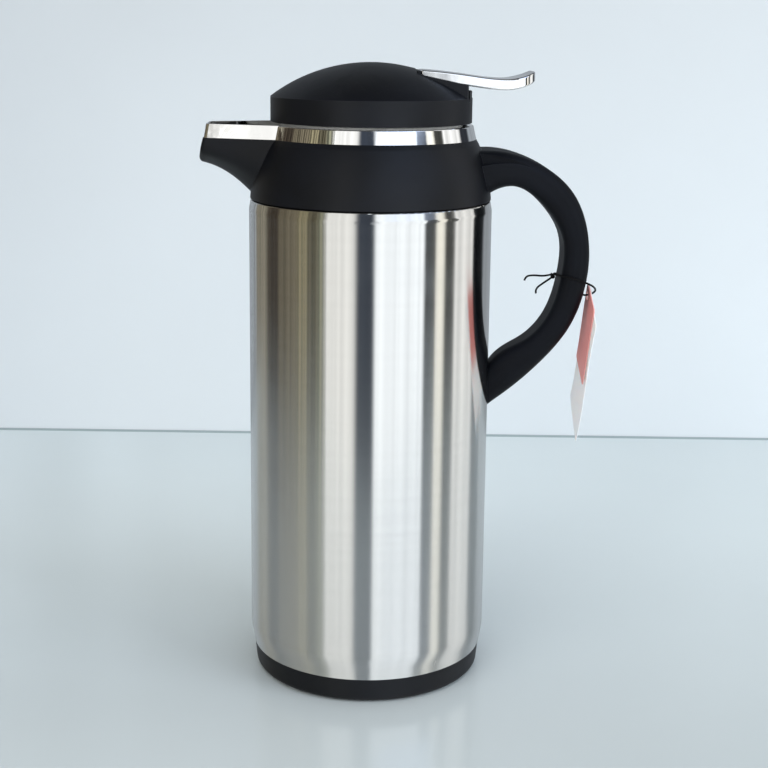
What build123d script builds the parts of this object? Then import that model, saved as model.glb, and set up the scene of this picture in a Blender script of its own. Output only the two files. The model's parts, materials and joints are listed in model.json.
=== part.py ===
"""Insulated serving jug with a lift-out lid, a thumb lever and a spout.

Millimetres. +Z is up, the origin is the centre of the base on the surface it
stands on, the handle is at +X and the spout at -X. Each function makes one
piece, and the list at the end writes one STEP file per piece.
"""

import os
from math import asin, cos, radians, sin, sqrt, tan

from build123d import *

# ---- Driving dimensions -------------------------------------------------------

# Steel casing
BODY_RADIUS = 62.0
CASING_WALL = 0.8
CASING_BOTTOM = 13.2
CASING_TOP = 249.1
TUCK_HEIGHT = 9.0
TUCK_DEPTH = 1.6
RIM_ROLL_HEIGHT = 4.6
RIM_ROLL_DEPTH = 0.9
RIM_LIP = 3.1

# Base
BASE_LIFT = 0.6
BASE_TAPER = 1.3
BASE_ROUNDING = 3.2
BASE_SPIGOT = 12.0
BASE_WALL = 2.4
BASE_FLOOR = 5.4
FOOT_RING_INSET = 8.0
FOOT_RING_WIDTH = 4.5
FOOT_RING_DEPTH = 1.6
CAP_RADIUS = 35.8
CAP_SKIRT = 9.0
CAP_THICKNESS = 2.6
CAP_RECESS = 3.0
COIN_SLOT = (26.0, 3.2, 1.3)
CUSHION_GAP = 2.4
CUSHION_HEIGHT = 9.8
TIP_RADIUS = 3.0
TIP_LENGTH = 6.0

# Glass bottle: two walls with a vacuum between them
GLASS_WALL = 1.6
BOTTLE_GAP = 5.2
VACUUM_GAP = 3.6
NECK_BORE = 24.5
NECK_RISE = 1.9
NECK_LENGTH = 15.0
NECK_BEAD = 3.0
SHOULDER_HEIGHT = 24.0
BOTTLE_CORNER = 24.0
NECK_SEAL_THICKNESS = 3.0

# Collar
COLLAR_GROOVE = 0.7
COLLAR_HEIGHT = 30.5
COLLAR_LOW_INSET = 0.6
COLLAR_BELLY_INSET = 2.7
COLLAR_BELLY_RISE = 14.2
COLLAR_HIGH_INSET = 7.4
COLLAR_SHOULDER = 2.4
COLLAR_WALL = 2.4
SKIRT_DEPTH = 13.0
BOWL_WALL = 1.6
BOWL_DEPTH = 13.3
SPIGOT_RISE = 6.0
BOWL_FLANGE = 2.6
BOWL_FLANGE_HEIGHT = 2.0
FLANGE_CLEARANCE = 1.0
MOUTH_MARGIN = 2.5
MOUTH_WALL = 2.8

# Chrome trim round the mouth and along the spout
TRIM_INSET = 1.4
TRIM_WIDTH = 4.6
TRIM_HEIGHT = 6.8
TRIM_DRAFT = 1.5
TRIM_ROUNDING = 2.6

# Spout
SPOUT_ROOT_DEPTH = 14.0
SPOUT_ROOT_HALF = 24.0
SPOUT_REACH = 22.2
SPOUT_TIP_HALF = 12.2
SPOUT_LIP_OVERHANG = 3.2
SPOUT_LIP_DROP = 12.3
SPOUT_WALL = 2.6
SPOUT_ROUNDING = 2.4
CHANNEL_INSET = 8.0
CHANNEL_RISE = 1.5
CHANNEL_END_DROP = 3.3
CHANNEL_ROUNDING = 2.0
# Reach beyond the body, then the keel's and the sides' drop below the collar's top
SPOUT_STATIONS = ((-16.0, 43.3, 8.3), (-2.0, 29.0, 6.8), (8.0, 20.0, 5.3), (18.0, 14.5, 3.8),
                  (32.0, 11.8, 2.3))

# Handle
# Outside and inside of the grip, as reach beyond the body and drop below the collar's top,
# then half its width
GRIP_STATIONS = (
    ((-14.0, 4.8), (-13.0, 32.8), 20.5),
    ((0.0, 5.2), (0.4, 25.1), 19.6),
    ((14.0, 8.1), (11.4, 23.3), 17.6),
    ((28.9, 15.4), (20.4, 28.3), 15.6),
    ((42.2, 28.7), (29.1, 37.2), 14.2),
    ((49.6, 52.3), (36.5, 52.1), 13.4),
    ((48.6, 74.6), (35.7, 70.8), 13.0),
    ((40.9, 96.3), (29.5, 90.3), 12.4),
    ((27.2, 114.2), (17.2, 103.7), 11.8),
    ((14.4, 126.9), (4.3, 111.6), 11.0),
    ((4.7, 134.4), (-4.0, 124.3), 9.6),
    ((-1.5, 139.3), (-8.0, 132.3), 8.4),
)
GRIP_ROUNDNESS = 0.38
GRIP_CORNER_LIMIT = 7.6
GROOVE_FLOOR = 16.3
# Groove in the handle's root, in the same terms: its top line and its bottom line
GROOVE_TOP = ((-12.0, 6.1), (7.0, 8.9), (24.0, 16.1))
GROOVE_BOTTOM = ((24.0, 16.1), (13.0, 11.9), (-12.0, 13.3))
SCREW_RADIUS = 1.5
SCREW_HEAD = 3.0
SCREW_HEAD_HEIGHT = 2.0
ROOT_SCREW_SPREAD = 9.0
ROOT_SCREW_DROP = 16.3
FOOT_SCREW_DROP = 125.3
ROOT_SCREW_DEPTH = 3.5
HANDLE_SCREW_LENGTH = 10.5
SCREW_TIP_ROOM = 0.6
FOOT_SCREW_GAP = 0.3

# Lid
LID_MARGIN = 0.7
LID_LIFT = 1.3
LID_SIDE = 12.4
DOME_RISE = 17.2
LID_WALL = 2.4
HOUSING_HALF = 19.0
HOUSING_WALL = 2.3
HOUSING_LENGTH = 29.0
HOUSING_FRONT_DROP = 5.1
HOUSING_BACK_RISE = 6.0
HOUSING_INSET = 0.3
NOTCH_RISE = 3.4
RIB_DEPTH = 3.8
PLUG_PLATE_MARGIN = 0.6
PLUG_PLATE_GAP = 2.7
PLUG_MARGIN = 1.5
PLUG_WALL = 2.4
PLUG_LIFT = 5.0
SEAT_RADIUS = 14.0
SEAT_HEIGHT = 3.0
PORT_COUNT = 6
PORT_WIDTH = 13.0
GASKET_HEIGHT = 4.0
GASKET_DEPTH = 1.5
LID_SCREW_RADIUS = 1.4
LID_SCREW_INSET = 13.0
LID_SCREW_COUNT = 4
LID_SCREW_LENGTH = 13.0
BOSS_RADIUS = 3.2

# Lever, rocker and valve
PIVOT_INSET = 13.0
PIVOT_RISE = 2.7
PIN_RADIUS = 1.5
PIN_COVER = 0.8
HUB_RADIUS = 3.4
LEVER_SIDE_GAP = 0.9
LEVER_SKIN = 1.8
LEVER_DEPTH = 5.3
LEVER_NOSE_GAP = 2.1
LEVER_LENGTH = 57.5
LEVER_ROUNDING = 0.8
THUMB_ROUNDING = 9.0
# The top of the lever from its nose to its tail, from the pivot outwards and upwards
LEVER_CURVE = ((-14.5, 11.1), (2.0, 9.8), (12.3, 8.5), (20.0, 7.5), (25.3, 7.1), (30.3, 7.1),
               (35.5, 8.0), (40.6, 9.7), (44.2, 12.1))
ARM_HALF = 6.0
FORK_LENGTH = 6.0
ARM_DEPTH = 2.4
ARM_RISE = 1.2
WEB_HALF = 3.0
WEB_RISE = 5.7
NOSE_LIP_RISE = 10.8
NOSE_PLATE_RISE = 3.6
NOSE_PLATE_DEPTH = 1.5
NOSE_PLATE_LENGTH = 6.0
STEM_RADIUS = 2.2
STEM_HEAD = 4.6
STEM_HEAD_HEIGHT = 2.0
PRONG_RADIUS = 2.6
VALVE_OVERLAP = 2.0
VALVE_THICKNESS = 3.0
VALVE_HUB = 4.2
VALVE_HUB_HEIGHT = 2.4
SEAL_MARGIN = 1.2
SEAL_THICKNESS = 2.0
SPRING_RADIUS = 6.2
SPRING_WIRE = 1.0
SPRING_TURNS = 5

# Tags on the handle
STRING_DIAMETER = 1.0
KNOT_RADIUS = 1.9
CARD_THICKNESS = 0.4
CARD_HOLE = 2.5
CARD_EDGE = 2.4
CARD_X = 113.6
CARD_Z = 199.4
CARD_GAP = 0.3
CARD_LEAN = 4.0
RED_CARD = (28.5, 45.5)
RED_TURN = 20.0
WHITE_CARD = (36.0, 81.0)
WHITE_TURN = 29.0

# Clearances
SNUG = 0.2
RUNNING = 0.05
FREE = 0.4
SLIDING = 0.08

# ---- Sizes that follow from them ----------------------------------------------

CASING_INNER = BODY_RADIUS - CASING_WALL
BASE_TOP_RADIUS = BODY_RADIUS - TUCK_DEPTH - CASING_WALL - SNUG
FOOT_RING_RADIUS = BODY_RADIUS - FOOT_RING_INSET
CAP_BOTTOM = BASE_LIFT + CAP_RECESS
CUSHION_BOTTOM = CAP_BOTTOM + CAP_THICKNESS
CUSHION_RADIUS = CAP_RADIUS - BASE_WALL - CUSHION_GAP
BOTTLE_BOTTOM = CUSHION_BOTTOM + CUSHION_HEIGHT
BOTTLE_RADIUS = CASING_INNER - BOTTLE_GAP
NECK_TOP = CASING_TOP + NECK_RISE
COLLAR_BOTTOM = CASING_TOP + COLLAR_GROOVE
COLLAR_TOP = COLLAR_BOTTOM + COLLAR_HEIGHT
COLLAR_LOW_RADIUS = BODY_RADIUS - COLLAR_LOW_INSET
COLLAR_BELLY_RADIUS = BODY_RADIUS - COLLAR_BELLY_INSET
COLLAR_BELLY_HEIGHT = COLLAR_BOTTOM + COLLAR_BELLY_RISE
COLLAR_HIGH_RADIUS = BODY_RADIUS - COLLAR_HIGH_INSET
SKIRT_RADIUS = BODY_RADIUS - RIM_ROLL_DEPTH - RIM_LIP - SNUG
TRIM_RADIUS = COLLAR_HIGH_RADIUS - TRIM_INSET
TRIM_INNER = TRIM_RADIUS - TRIM_WIDTH
TRIM_TOP = COLLAR_TOP + TRIM_HEIGHT
BOWL_RADIUS = TRIM_INNER - SNUG - BOWL_WALL
BOWL_FLOOR = COLLAR_TOP - BOWL_DEPTH
MOUTH_RADIUS = NECK_BORE + MOUTH_MARGIN
FLANGE_GAP = SPOUT_ROOT_HALF + FLANGE_CLEARANCE
SPOUT_ROOT_X = SPOUT_ROOT_DEPTH - BODY_RADIUS
SPOUT_TIP_X = -BODY_RADIUS - SPOUT_REACH
SPOUT_LIP_X = SPOUT_TIP_X - SPOUT_LIP_OVERHANG
SPOUT_LIP_HEIGHT = COLLAR_TOP - SPOUT_LIP_DROP
CHANNEL_ROOT_X = SPOUT_ROOT_X + CHANNEL_INSET
CHANNEL_START = BOWL_FLOOR + CHANNEL_RISE
CHANNEL_END = COLLAR_TOP - CHANNEL_END_DROP
ROOT_SCREW_HEIGHT = COLLAR_TOP - ROOT_SCREW_DROP
ROOT_SCREW_SEAT = COLLAR_BELLY_RADIUS - ROOT_SCREW_DEPTH
FOOT_SCREW_HEIGHT = COLLAR_TOP - FOOT_SCREW_DROP
FOOT_SCREW_SEAT = CASING_INNER - FOOT_SCREW_GAP
LID_RADIUS = TRIM_RADIUS - TRIM_DRAFT - LID_MARGIN
LID_BOTTOM = TRIM_TOP + LID_LIFT
LID_WALL_TOP = LID_BOTTOM + LID_SIDE
LID_TOP = LID_WALL_TOP + DOME_RISE
DOME_RADIUS = (LID_RADIUS**2 + DOME_RISE**2) / (2 * DOME_RISE)
HOUSING_FRONT_X = LID_RADIUS - HOUSING_LENGTH
HOUSING_FRONT_TOP = LID_TOP - HOUSING_FRONT_DROP
HOUSING_BACK_TOP = LID_WALL_TOP + HOUSING_BACK_RISE
SLOT_HALF = HOUSING_HALF - HOUSING_WALL
REAR_NOTCH = LID_WALL_TOP + NOTCH_RISE
RIB_BOTTOM = LID_WALL_TOP - RIB_DEPTH
LID_SCREW_CIRCLE = LID_RADIUS - LID_SCREW_INSET
PLUG_PLATE_RADIUS = BOWL_RADIUS - PLUG_PLATE_MARGIN
PLUG_PLATE_BOTTOM = COLLAR_TOP + PLUG_PLATE_GAP
PLUG_PLATE_TOP = LID_BOTTOM - FREE
PLUG_RADIUS = MOUTH_RADIUS - PLUG_MARGIN
PLUG_BOTTOM = NECK_TOP + PLUG_LIFT
SEAT_TOP = PLUG_BOTTOM + SEAT_HEIGHT
VALVE_RADIUS = SEAT_RADIUS + VALVE_OVERLAP
VALVE_BOTTOM = SEAT_TOP + SEAL_THICKNESS
VALVE_TOP = VALVE_BOTTOM + VALVE_THICKNESS
SEAL_RADIUS = VALVE_RADIUS + SEAL_MARGIN
PIVOT_X = LID_RADIUS - PIVOT_INSET
PIVOT_Z = LID_WALL_TOP + PIVOT_RISE
STEM_REST = PIVOT_Z + PRONG_RADIUS + FREE
LEVER_HALF = SLOT_HALF - LEVER_SIDE_GAP
LEVER_NOSE = HOUSING_FRONT_X + LEVER_NOSE_GAP
LEVER_TAIL = LEVER_NOSE + LEVER_LENGTH


# ---- Helpers -------------------------------------------------------------------

def turned(*corners):
    """A solid turned about Z from corners (radius, height) or (radius, height, rounding)."""
    points = [(corner[0], 0, corner[1]) for corner in corners]
    roundings = [corner[2] if len(corner) > 2 else 0 for corner in corners]
    outline = FilletPolyline(*points, radius=roundings, close=True)
    return revolve(make_face(outline), Axis.Z)


def block(low, high):
    """A box from its lowest to its highest corner."""
    size = [b - a for a, b in zip(low, high)]
    middle = [(a + b) / 2 for a, b in zip(low, high)]
    return Pos(*middle) * Box(*size)


def rod(radius, start, end):
    """A round bar between two points."""
    axis = Vector(*end) - Vector(*start)
    plane = Plane(origin=start, z_dir=axis)
    return extrude(plane * Circle(radius), axis.length)


def side_plate(face, half_width):
    """A plate across the XZ plane, half_width thick on either side of it."""
    return Pos(0, -half_width, 0) * extrude(face, 2 * half_width, dir=(0, 1, 0))


# ---- Base ------------------------------------------------------------------------

def make_outer_casing():
    """Steel tube, tucked in at the foot, rolled in to a lip at the top."""
    foot = BODY_RADIUS - TUCK_DEPTH
    roll = BODY_RADIUS - RIM_ROLL_DEPTH
    casing = turned(
        (foot, CASING_BOTTOM),
        (BODY_RADIUS, CASING_BOTTOM + TUCK_HEIGHT, 30),
        (BODY_RADIUS, CASING_TOP - RIM_ROLL_HEIGHT, 8),
        (roll, CASING_TOP, CASING_WALL),
        (roll - RIM_LIP, CASING_TOP),
        (roll - RIM_LIP, CASING_TOP - CASING_WALL),
        (roll - CASING_WALL, CASING_TOP - CASING_WALL),
        (CASING_INNER, CASING_TOP - RIM_ROLL_HEIGHT, 8),
        (CASING_INNER, CASING_BOTTOM + TUCK_HEIGHT, 30),
        (foot - CASING_WALL, CASING_BOTTOM),
    )
    screw_way = rod(SCREW_RADIUS + SNUG, (FOOT_SCREW_SEAT - BOTTLE_GAP, 0, FOOT_SCREW_HEIGHT),
                    (BODY_RADIUS + BOTTLE_GAP, 0, FOOT_SCREW_HEIGHT))
    return casing - screw_way


def make_base_ring():
    """Moulded base: a rounded rim, a spigot inside the casing, and a boss for the cap."""
    outer = BASE_TOP_RADIUS + CASING_WALL
    groove = FOOT_RING_RADIUS - FOOT_RING_WIDTH
    boss = CAP_RADIUS + FREE
    spigot = CASING_BOTTOM + BASE_SPIGOT
    ring = turned(
        (outer - BASE_TAPER, BASE_LIFT, BASE_ROUNDING),
        (outer, CASING_BOTTOM - SNUG),
        (BASE_TOP_RADIUS, CASING_BOTTOM - SNUG),
        (BASE_TOP_RADIUS, spigot, 1),
        (BASE_TOP_RADIUS - BASE_WALL, spigot, 1),
        (BASE_TOP_RADIUS - BASE_WALL, BASE_FLOOR),
        (boss + BASE_WALL, BASE_FLOOR),
        (boss + BASE_WALL, BASE_FLOOR + CAP_SKIRT),
        (boss, BASE_FLOOR + CAP_SKIRT),
        (boss, CAP_BOTTOM),
        (groove - BASE_WALL, CAP_BOTTOM),
        (groove - BASE_WALL, BASE_LIFT),
    )
    channel = turned(
        (groove, BASE_LIFT - 1), (FOOT_RING_RADIUS, BASE_LIFT - 1),
        (FOOT_RING_RADIUS, BASE_LIFT + FOOT_RING_DEPTH), (groove, BASE_LIFT + FOOT_RING_DEPTH),
    )
    return ring - channel


def make_foot_ring():
    """Soft ring in the groove of the base, which the jug stands on."""
    inner = FOOT_RING_RADIUS - FOOT_RING_WIDTH + SNUG / 2
    outer = FOOT_RING_RADIUS - SNUG / 2
    return turned((inner, 0, 0.4), (outer, 0, 0.4),
                  (outer, BASE_LIFT + FOOT_RING_DEPTH), (inner, BASE_LIFT + FOOT_RING_DEPTH))


def make_base_cap():
    """Screw cap that lets the bottle out, with a coin slot underneath."""
    skirt_top = CAP_BOTTOM + CAP_SKIRT
    cap = turned(
        (0, CAP_BOTTOM), (CAP_RADIUS, CAP_BOTTOM, 0.8), (CAP_RADIUS, skirt_top, 0.6),
        (CAP_RADIUS - BASE_WALL, skirt_top, 0.6), (CAP_RADIUS - BASE_WALL, CUSHION_BOTTOM),
        (0, CUSHION_BOTTOM),
    )
    length, width, depth = COIN_SLOT
    slot = block((-length / 2, -width / 2, CAP_BOTTOM - 1), (length / 2, width / 2, CAP_BOTTOM + depth))
    return cap - slot


def make_bottle_cushion():
    """Rubber cushion between the cap and the bottle, hollow for the glass tip."""
    hole = TIP_RADIUS + 5
    return turned((hole, CUSHION_BOTTOM), (CUSHION_RADIUS, CUSHION_BOTTOM, 1),
                  (CUSHION_RADIUS, BOTTLE_BOTTOM, 2), (hole, BOTTLE_BOTTOM))


# ---- Glass bottle ------------------------------------------------------------------

def bottle_profile(radius, neck, bottom, top):
    """Corners of one glass surface, from the middle of its bottom up to its neck."""
    corner = BOTTLE_CORNER - (BOTTLE_RADIUS - radius) / 2
    shoulder = NECK_TOP - NECK_LENGTH - (BOTTLE_RADIUS - radius)
    return ((0, bottom), (radius, bottom, corner), (radius, shoulder - SHOULDER_HEIGHT, 20),
            (neck, shoulder, 8), (neck, top))


def make_bottle_outer():
    """Outer glass wall, with the tip where the air was drawn out."""
    top = NECK_TOP - NECK_BEAD
    neck = NECK_BORE + GLASS_WALL + 2.0
    outside = bottle_profile(BOTTLE_RADIUS, neck, BOTTLE_BOTTOM, top)
    inside = bottle_profile(BOTTLE_RADIUS - GLASS_WALL, neck - GLASS_WALL,
                            BOTTLE_BOTTOM + GLASS_WALL, top + 1)
    wall = turned(*outside, (0, top)) - turned(*inside, (0, top + 1))
    tip = turned((0, BOTTLE_BOTTOM - TIP_LENGTH), (TIP_RADIUS / 2, BOTTLE_BOTTOM - TIP_LENGTH, 0.8),
                 (TIP_RADIUS, BOTTLE_BOTTOM + GLASS_WALL / 2), (0, BOTTLE_BOTTOM + GLASS_WALL / 2))
    return wall + tip


def make_bottle_inner():
    """Inner glass wall, with the bead that joins the two walls at the mouth."""
    radius = BOTTLE_RADIUS - GLASS_WALL - VACUUM_GAP
    bottom = BOTTLE_BOTTOM + GLASS_WALL + VACUUM_GAP
    outside = bottle_profile(radius, NECK_BORE + GLASS_WALL, bottom, NECK_TOP)
    inside = bottle_profile(radius - GLASS_WALL, NECK_BORE, bottom + GLASS_WALL, NECK_TOP + 1)
    bead = turned((0, NECK_TOP - NECK_BEAD), (NECK_BORE + GLASS_WALL + 2.0, NECK_TOP - NECK_BEAD),
                  (NECK_BORE + GLASS_WALL + 2.0, NECK_TOP, 1), (0, NECK_TOP))
    return turned(*outside, (0, NECK_TOP)) + bead - turned(*inside, (0, NECK_TOP + 1))


def make_neck_seal():
    """Rubber ring between the bottle's mouth and the collar."""
    outer = MOUTH_RADIUS + MOUTH_WALL
    top = NECK_TOP + NECK_SEAL_THICKNESS
    return turned((NECK_BORE, NECK_TOP), (outer, NECK_TOP), (outer, top), (NECK_BORE, top))


# ---- Collar, spout and trim -----------------------------------------------------------

def collar_skin(extra):
    """The collar's outer form as a full solid, made larger by extra."""
    shoulder = COLLAR_TOP - COLLAR_SHOULDER
    side = ThreePointArc((COLLAR_LOW_RADIUS + extra, 0, COLLAR_BOTTOM),
                         (COLLAR_BELLY_RADIUS + extra, 0, COLLAR_BELLY_HEIGHT),
                         (COLLAR_HIGH_RADIUS + extra, 0, shoulder))
    closing = Polyline((COLLAR_HIGH_RADIUS + extra, 0, shoulder),
                       (TRIM_RADIUS + extra, 0, COLLAR_TOP), (0, 0, COLLAR_TOP),
                       (0, 0, COLLAR_BOTTOM), (COLLAR_LOW_RADIUS + extra, 0, COLLAR_BOTTOM))
    return revolve(make_face([side, *closing.edges()]), Axis.Z)


def spout_half(x, inset=0.0):
    """Half the spout's width at x, less a wall."""
    share = (x - SPOUT_TIP_X) / (SPOUT_ROOT_X - SPOUT_TIP_X)
    return SPOUT_TIP_HALF + (SPOUT_ROOT_HALF - SPOUT_TIP_HALF) * share - inset


def spout_section(x, keel, side):
    """One section of the spout: a flat top, upright sides down to side, a keel at keel."""
    half = spout_half(x)
    waist = keel + (side - keel) * 0.3
    right = Spline((x, half, side), (x, 0.62 * half, waist), (x, 0, keel),
                   tangents=((0, 0, -1), (0, -1, 0)))
    left = Spline((x, 0, keel), (x, -0.62 * half, waist), (x, -half, side),
                  tangents=((0, -1, 0), (0, 0, 1)))
    top = Polyline((x, -half, side), (x, -half, COLLAR_TOP), (x, half, COLLAR_TOP), (x, half, side))
    return make_face([right, left, *top.edges()])


def make_spout():
    """The spout's outer form above the casing, cut off at the slanting lip."""
    form = loft([spout_section(-BODY_RADIUS - reach, COLLAR_TOP - keel, COLLAR_TOP - side)
                 for reach, keel, side in SPOUT_STATIONS])
    form -= block((-2 * BODY_RADIUS, -BODY_RADIUS, 0), (0, BODY_RADIUS, COLLAR_BOTTOM))
    run = SPOUT_TIP_X - SPOUT_LIP_X
    drop = COLLAR_TOP - SPOUT_LIP_HEIGHT
    front = make_face(Polyline(
        (SPOUT_TIP_X + run, 0, COLLAR_TOP + drop), (SPOUT_LIP_X - run, 0, SPOUT_LIP_HEIGHT - drop),
        (SPOUT_LIP_X - 40, 0, SPOUT_LIP_HEIGHT - drop), (SPOUT_LIP_X - 40, 0, COLLAR_TOP + drop),
        close=True))
    form -= side_plate(front, BODY_RADIUS)
    lip = [edge for edge in form.edges() if edge.bounding_box().max.X < SPOUT_TIP_X + 0.5]
    upright = [edge for edge in lip if edge.bounding_box().max.Z < COLLAR_TOP - 0.1]
    return fillet(upright, SPOUT_ROUNDING)


def channel_floor(drop, top):
    """Side outline of the space over the channel's floor, which climbs to the lip."""
    tip = SPOUT_TIP_X + SPOUT_WALL - 1
    return make_face(Polyline((CHANNEL_ROOT_X, 0, CHANNEL_START - drop), (tip, 0, CHANNEL_END - drop),
                              (tip, 0, top), (CHANNEL_ROOT_X, 0, top), close=True))


def channel_way(top):
    """The space inside the spout up to top, tapered in plan."""
    tip = SPOUT_TIP_X + SPOUT_WALL
    low = CHANNEL_START - 1
    wide = spout_half(CHANNEL_ROOT_X, SPOUT_WALL)
    narrow = spout_half(tip, SPOUT_WALL)
    plan = make_face(Polyline((tip, -narrow, low), (CHANNEL_ROOT_X, -wide, low),
                              (CHANNEL_ROOT_X, wide, low), (tip, narrow, low), close=True))
    prism = extrude(plan, top - low, dir=(0, 0, 1))
    prism = fillet(prism.edges().filter_by(Axis.Z).group_by(Axis.X)[0], CHANNEL_ROUNDING)
    return prism & side_plate(channel_floor(0, top), BODY_RADIUS)


def make_collar():
    """Moulded shoulder round the pouring bowl, with the spout and its channel."""
    shoulder = COLLAR_TOP - COLLAR_SHOULDER
    bore = BOWL_RADIUS + BOWL_WALL + SNUG
    spout = make_spout()
    hollow = turned(
        (0, COLLAR_BOTTOM - 1), (COLLAR_LOW_RADIUS - COLLAR_WALL, COLLAR_BOTTOM - 1),
        (COLLAR_LOW_RADIUS - COLLAR_WALL, COLLAR_BOTTOM + COLLAR_WALL, 1),
        (COLLAR_HIGH_RADIUS - COLLAR_WALL, shoulder),
        (bore, shoulder), (bore, COLLAR_TOP + 1), (0, COLLAR_TOP + 1),
    )
    middle = turned((0, COLLAR_BOTTOM - 1), (bore, COLLAR_BOTTOM - 1), (bore, COLLAR_TOP + 1),
                    (0, COLLAR_TOP + 1))
    duct = (spout & side_plate(channel_floor(SPOUT_WALL, COLLAR_TOP), BODY_RADIUS)) - middle
    skirt = turned(
        (SKIRT_RADIUS - COLLAR_WALL, COLLAR_BOTTOM - SKIRT_DEPTH, 0.8),
        (SKIRT_RADIUS, COLLAR_BOTTOM - SKIRT_DEPTH, 0.8), (SKIRT_RADIUS, COLLAR_BOTTOM),
        (COLLAR_LOW_RADIUS - 0.5, COLLAR_BOTTOM), (COLLAR_LOW_RADIUS - 0.5, COLLAR_BOTTOM + COLLAR_WALL),
        (SKIRT_RADIUS - COLLAR_WALL, COLLAR_BOTTOM + COLLAR_WALL, 0.8),
    )
    body = collar_skin(0) + spout - hollow + skirt + duct
    body -= channel_way(COLLAR_TOP + 1)
    for side in (-1, 1):
        y = side * ROOT_SCREW_SPREAD
        body -= rod(SCREW_RADIUS + SNUG, (bore + 2, y, ROOT_SCREW_HEIGHT),
                    (COLLAR_LOW_RADIUS + 4, y, ROOT_SCREW_HEIGHT))
        body -= rod(SCREW_HEAD + FREE, (bore + 2, y, ROOT_SCREW_HEIGHT),
                    (ROOT_SCREW_SEAT, y, ROOT_SCREW_HEIGHT))
    return body


def make_pour_bowl():
    """Bowl under the lid: mouth tube on the bottle's seal, floor, wall, and a flange under the collar."""
    outer = BOWL_RADIUS + BOWL_WALL
    mouth_outer = MOUTH_RADIUS + MOUTH_WALL
    mouth_bottom = NECK_TOP + NECK_SEAL_THICKNESS
    under = BOWL_FLOOR - COLLAR_WALL
    top = COLLAR_TOP + SPIGOT_RISE
    bowl = turned(
        (MOUTH_RADIUS, mouth_bottom), (mouth_outer, mouth_bottom), (mouth_outer, under, 1),
        (outer, under, 3), (outer, top), (BOWL_RADIUS, top), (BOWL_RADIUS, BOWL_FLOOR, 3),
        (MOUTH_RADIUS, BOWL_FLOOR, 0.8),
    )
    high = COLLAR_TOP - COLLAR_SHOULDER - SNUG
    low = high - BOWL_FLANGE_HEIGHT
    edge = outer + BOWL_FLANGE
    flange = turned((outer - 0.5, low), (edge, low), (edge, high), (outer - 0.5, high))
    flange -= block((-BODY_RADIUS, -FLANGE_GAP, BOWL_FLOOR), (0, FLANGE_GAP, COLLAR_TOP))
    return bowl + flange - channel_way(top + 1)


def trim_plan(draft, height):
    """Plan of the trim's spout part, drawn in by draft, at a height."""
    tip = SPOUT_TIP_X + 0.4 + draft
    narrow = spout_half(tip, draft)
    wide = spout_half(CHANNEL_ROOT_X, draft)
    outline = FilletPolyline(
        (tip, -narrow, height), (CHANNEL_ROOT_X, -wide, height),
        (CHANNEL_ROOT_X, wide, height), (tip, narrow, height),
        radius=(TRIM_ROUNDING, 0, 0, TRIM_ROUNDING), close=True)
    return make_face(outline)


def make_trim_ring():
    """Chrome band round the mouth that runs out along both sides and the lip of the spout."""
    ring = turned((TRIM_INNER, COLLAR_TOP), (TRIM_RADIUS, COLLAR_TOP),
                  (TRIM_RADIUS - TRIM_DRAFT, TRIM_TOP, 0.6), (TRIM_INNER, TRIM_TOP, 0.4))
    spout = loft([trim_plan(0, COLLAR_TOP), trim_plan(TRIM_DRAFT * 0.8, TRIM_TOP)])
    bore = turned((0, COLLAR_TOP - 1), (TRIM_INNER, COLLAR_TOP - 1), (TRIM_INNER, TRIM_TOP + 1),
                  (0, TRIM_TOP + 1))
    return ring + (spout - bore) - channel_way(TRIM_TOP + 1)


# ---- Handle ------------------------------------------------------------------------------

def handle_section(outer, inner, half_width):
    """A rounded section between a point on the outside of the grip and one on its inside."""
    outer, inner = Vector(*outer), Vector(*inner)
    across = outer - inner
    plane = Plane(origin=(outer + inner) / 2, x_dir=across, z_dir=across.cross(Vector(0, 1, 0)))
    corner = min(GRIP_ROUNDNESS * across.length, GRIP_CORNER_LIMIT)
    return plane * RectangleRounded(across.length, 2 * half_width, corner)


def from_body(reach, drop):
    """A point of the side view from its reach beyond the body and its drop below the collar's top."""
    return BODY_RADIUS + reach, 0, COLLAR_TOP - drop


def groove_outline():
    """Side outline of the groove that runs from the collar into the grip."""
    top = [from_body(*point) for point in GROOVE_TOP]
    bottom = [from_body(*point) for point in GROOVE_BOTTOM]
    return make_face([
        Polyline(bottom[-1], top[0]).edge(),
        Spline(*top, tangents=((1, 0, -0.05), (1, 0, -0.8))),
        Spline(*bottom, tangents=((-1, 0, 0.5), (-1, 0, -0.2))),
    ])


def make_handle():
    """Grip from the collar down to a pointed foot against the casing."""
    grip = loft([handle_section(from_body(*outer), from_body(*inner), half)
                 for outer, inner, half in GRIP_STATIONS])
    body = Cylinder(BODY_RADIUS + SLIDING, COLLAR_BOTTOM, align=(Align.CENTER, Align.CENTER, Align.MIN))
    grip = grip - body - collar_skin(SLIDING)
    grip -= turned((0, COLLAR_BOTTOM - 1), (COLLAR_LOW_RADIUS + SLIDING, COLLAR_BOTTOM - 1),
                   (COLLAR_LOW_RADIUS + SLIDING, COLLAR_BOTTOM), (0, COLLAR_BOTTOM))
    root_way = ROOT_SCREW_SEAT + HANDLE_SCREW_LENGTH + SCREW_TIP_ROOM
    foot_way = FOOT_SCREW_SEAT + HANDLE_SCREW_LENGTH + SCREW_TIP_ROOM
    for side in (-1, 1):
        grip -= Pos(0, side * GROOVE_FLOOR, 0) * extrude(groove_outline(), BODY_RADIUS, dir=(0, side, 0))
        y = side * ROOT_SCREW_SPREAD
        grip -= rod(SCREW_RADIUS + RUNNING, (ROOT_SCREW_SEAT, y, ROOT_SCREW_HEIGHT),
                    (root_way, y, ROOT_SCREW_HEIGHT))
    return grip - rod(SCREW_RADIUS + RUNNING, (FOOT_SCREW_SEAT, 0, FOOT_SCREW_HEIGHT),
                      (foot_way, 0, FOOT_SCREW_HEIGHT))


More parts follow.
